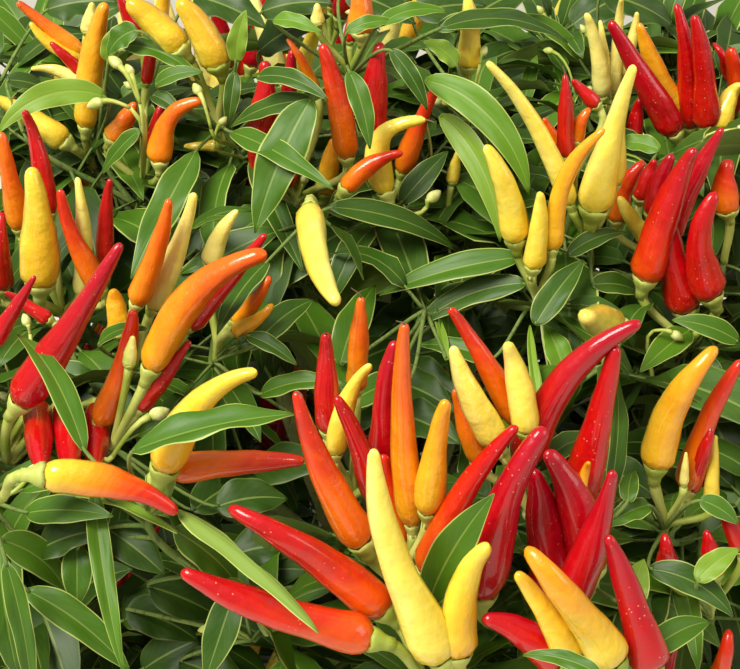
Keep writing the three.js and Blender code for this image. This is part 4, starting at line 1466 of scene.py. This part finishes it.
# The dried style that a pod keeps at its tip for a while: a dark, bent hair, withered and dull, left from
# the blossom and still fast to the very end of the pod.
STYLE_LENGTH = 0.0036
STYLE_RADIUS = 0.0002
STYLE_SHARE = 0.35  # of the drawn pods
dried = [pod.tip in dried_tips for pods in photo_trusses.values() for pod in pods]
drawn_dried = random.random(len(pod_rows) - photo_pod_count) < STYLE_SHARE
with_style = np.flatnonzero(np.concatenate([dried, drawn_dried]))
style_start = pod_line(np.full((len(with_style), 1), 0.995), with_style)[:, 0]
style_way = unit(style_start - pod_line(np.full((len(with_style), 1), 0.95), with_style)[:, 0])
style_bend = unit(style_way + random.normal(0, 0.7, (len(with_style), 3)))
style_end = style_start + style_bend * STYLE_LENGTH * random.uniform(0.5, 1.4, (len(with_style), 1))
share = np.linspace(0, 1, 5)[None]
style_line = bent_path(style_start, style_way, style_end, style_bend, share)
style_radius = np.broadcast_to(STYLE_RADIUS * (1.6 - 1.2 * share), (len(with_style), 5))
dry_skin, dry_shader, where = new_finish("dry_skin", Roughness=0.9)
feed(dry_shader, {"Base Color": where.noise(700.0).mixed(colour("4a3523"), colour("8a745a"))})
ring_piece("styles", skins(style_line, style_radius, pod_side[with_style], 5), dry_skin)


# Flower buds: small pale nodding ovals on thin stalks, where some shoots end. Those that the photograph
# shows are given by the pixels of the bud and of the shoot below it, by the bud's radius in pixels and by
# how many metres it stands before the layer in which the trusses have their feet.
Bud = namedtuple("Bud", "place shoot radius before")
photo_buds = [
    ((115, 62), (140, 104), 6, 0.030), ((129, 70), (140, 104), 5, 0.030), ((95, 104), (130, 108), 6, 0.036),
    ((197, 89), (211, 129), 5, 0.026), ((223, 121), (214, 140), 4, 0.020),
    ((159, 413), (113, 456), 7, 0.022), ((677, 336), (653, 331), 5, 0.016),
    ((434, 196), (427, 207), 6, 0.018), ((484, 51), (480, 64), 4, 0.018), ((26, 320), (30, 334), 5, 0.020),
]
photo_buds = [Bud(*row) for row in photo_buds]
BUD_LENGTH = 0.0042
BUD_RADIUS = 0.0013
BUD_SHARE = 0.45  # of the shoots
LOWEST_BUD = 0.05
BUD_REACH = (0.010, 0.017)  # from the shoot's end
BUD_STALK_RADIUS = 0.00045
BUD_STALK_SWELLING = 0.00035  # at the bud
BUD_SHOOT_RADIUS = 0.0007
BUD_SHOOT_TAPER = 0.0002
BUD_SHOOT_DROP = 0.015
bud_start = foot_place[shoot_tip[tipped]]
bud_grows = foot_growth[shoot_tip[tipped]]
bud_out = unit(bud_grows + random.normal(0, 0.5, bud_start.shape))
bud_base = bud_start + bud_out * random.uniform(*BUD_REACH, (len(bud_start), 1))
bud_way = unit(bud_out - 0.5 * up + random.normal(0, 0.3, bud_start.shape))
budding = (random.random(len(bud_start)) < BUD_SHARE) & (bud_start[:, 2] > LOWEST_BUD)
budding &= hides(bud_base[:, None]) == 0
bud_rows = [row for row, grown in zip(zip(bud_start, bud_grows, bud_base, bud_way), budding) if grown]
bud_scale = [1.0] * len(bud_rows)
bud_shoots = []  # the ends of the little shoots that carry the photographed buds
for bud in photo_buds:
    distance = foot_layer(bud.place) - bud.before
    middle = eye + distance * sight(bud.place)
    fork = eye + distance * sight(bud.shoot)
    below = fork - BUD_SHOOT_DROP * up
    start = twig_points[np.argmin(((twig_points - below) ** 2).sum(1))]
    grows = unit(unit(middle - fork) + 0.5 * up)
    way = unit(unit(middle - fork) - 0.5 * up)
    bud_scale.append(bud.radius * distance / FOCAL_LENGTH / BUD_RADIUS)
    bud_rows.append((fork, grows, middle - way * BUD_LENGTH / 2 * bud_scale[-1], way))
    bud_shoots.append((start, unit(unit(fork - start) + 0.6 * up), fork, grows))
bud_start, bud_grows, bud_base, bud_way = (np.array(column) for column in zip(*bud_rows))
bud_scale = np.array(bud_scale)[:, None]
t = np.linspace(0, 1, 8)
bud_line = bud_base[:, None] + (BUD_LENGTH * bud_scale * t)[..., None] * bud_way[:, None]
bud_radius = bud_scale * BUD_RADIUS * np.maximum(np.sin(np.pi * t**0.8) ** 0.7, 0.08)
bud_side = unit(np.cross(bud_way, (0.3, 0.8, 0.5)))
bud_skin, bud_shader, where = new_finish("bud_skin", Roughness=0.55)
bud_cloud = where.noise(350.0, 3.0)
feed(bud_shader, {
    "Base Color": bud_cloud.band(0.3, 0.7).mixed(colour("aebb52"), colour("dfdf9c")),
    "Normal": bud_cloud.bump(0.3, 0.0003),
})
ring_piece("buds", skins(bud_line, bud_radius, bud_side, 8), bud_skin)
share = np.linspace(0, 1, 6)[None]
bud_stalk_line = bent_path(bud_start, bud_grows, bud_base + bud_way * 0.0005, bud_way, share)
bud_stalk_radius = bud_scale * (BUD_STALK_RADIUS + BUD_STALK_SWELLING * share**3)
bud_shoot_line = bent_path(*(np.array(column) for column in zip(*bud_shoots)), share, TWIG_STIFFNESS)
bud_shoot_radius = bud_scale[-len(photo_buds) :] * (BUD_SHOOT_RADIUS - BUD_SHOOT_TAPER * share)
bud_stalk_line = np.concatenate([bud_stalk_line, bud_shoot_line])
bud_stalk_radius = np.concatenate([bud_stalk_radius, bud_shoot_radius])
bud_stalk_side = np.concatenate([bud_side, bud_side[-len(photo_buds) :]])
ring_piece("bud_stalks", skins(bud_stalk_line, bud_stalk_radius, bud_stalk_side, 5), stalk_skin)
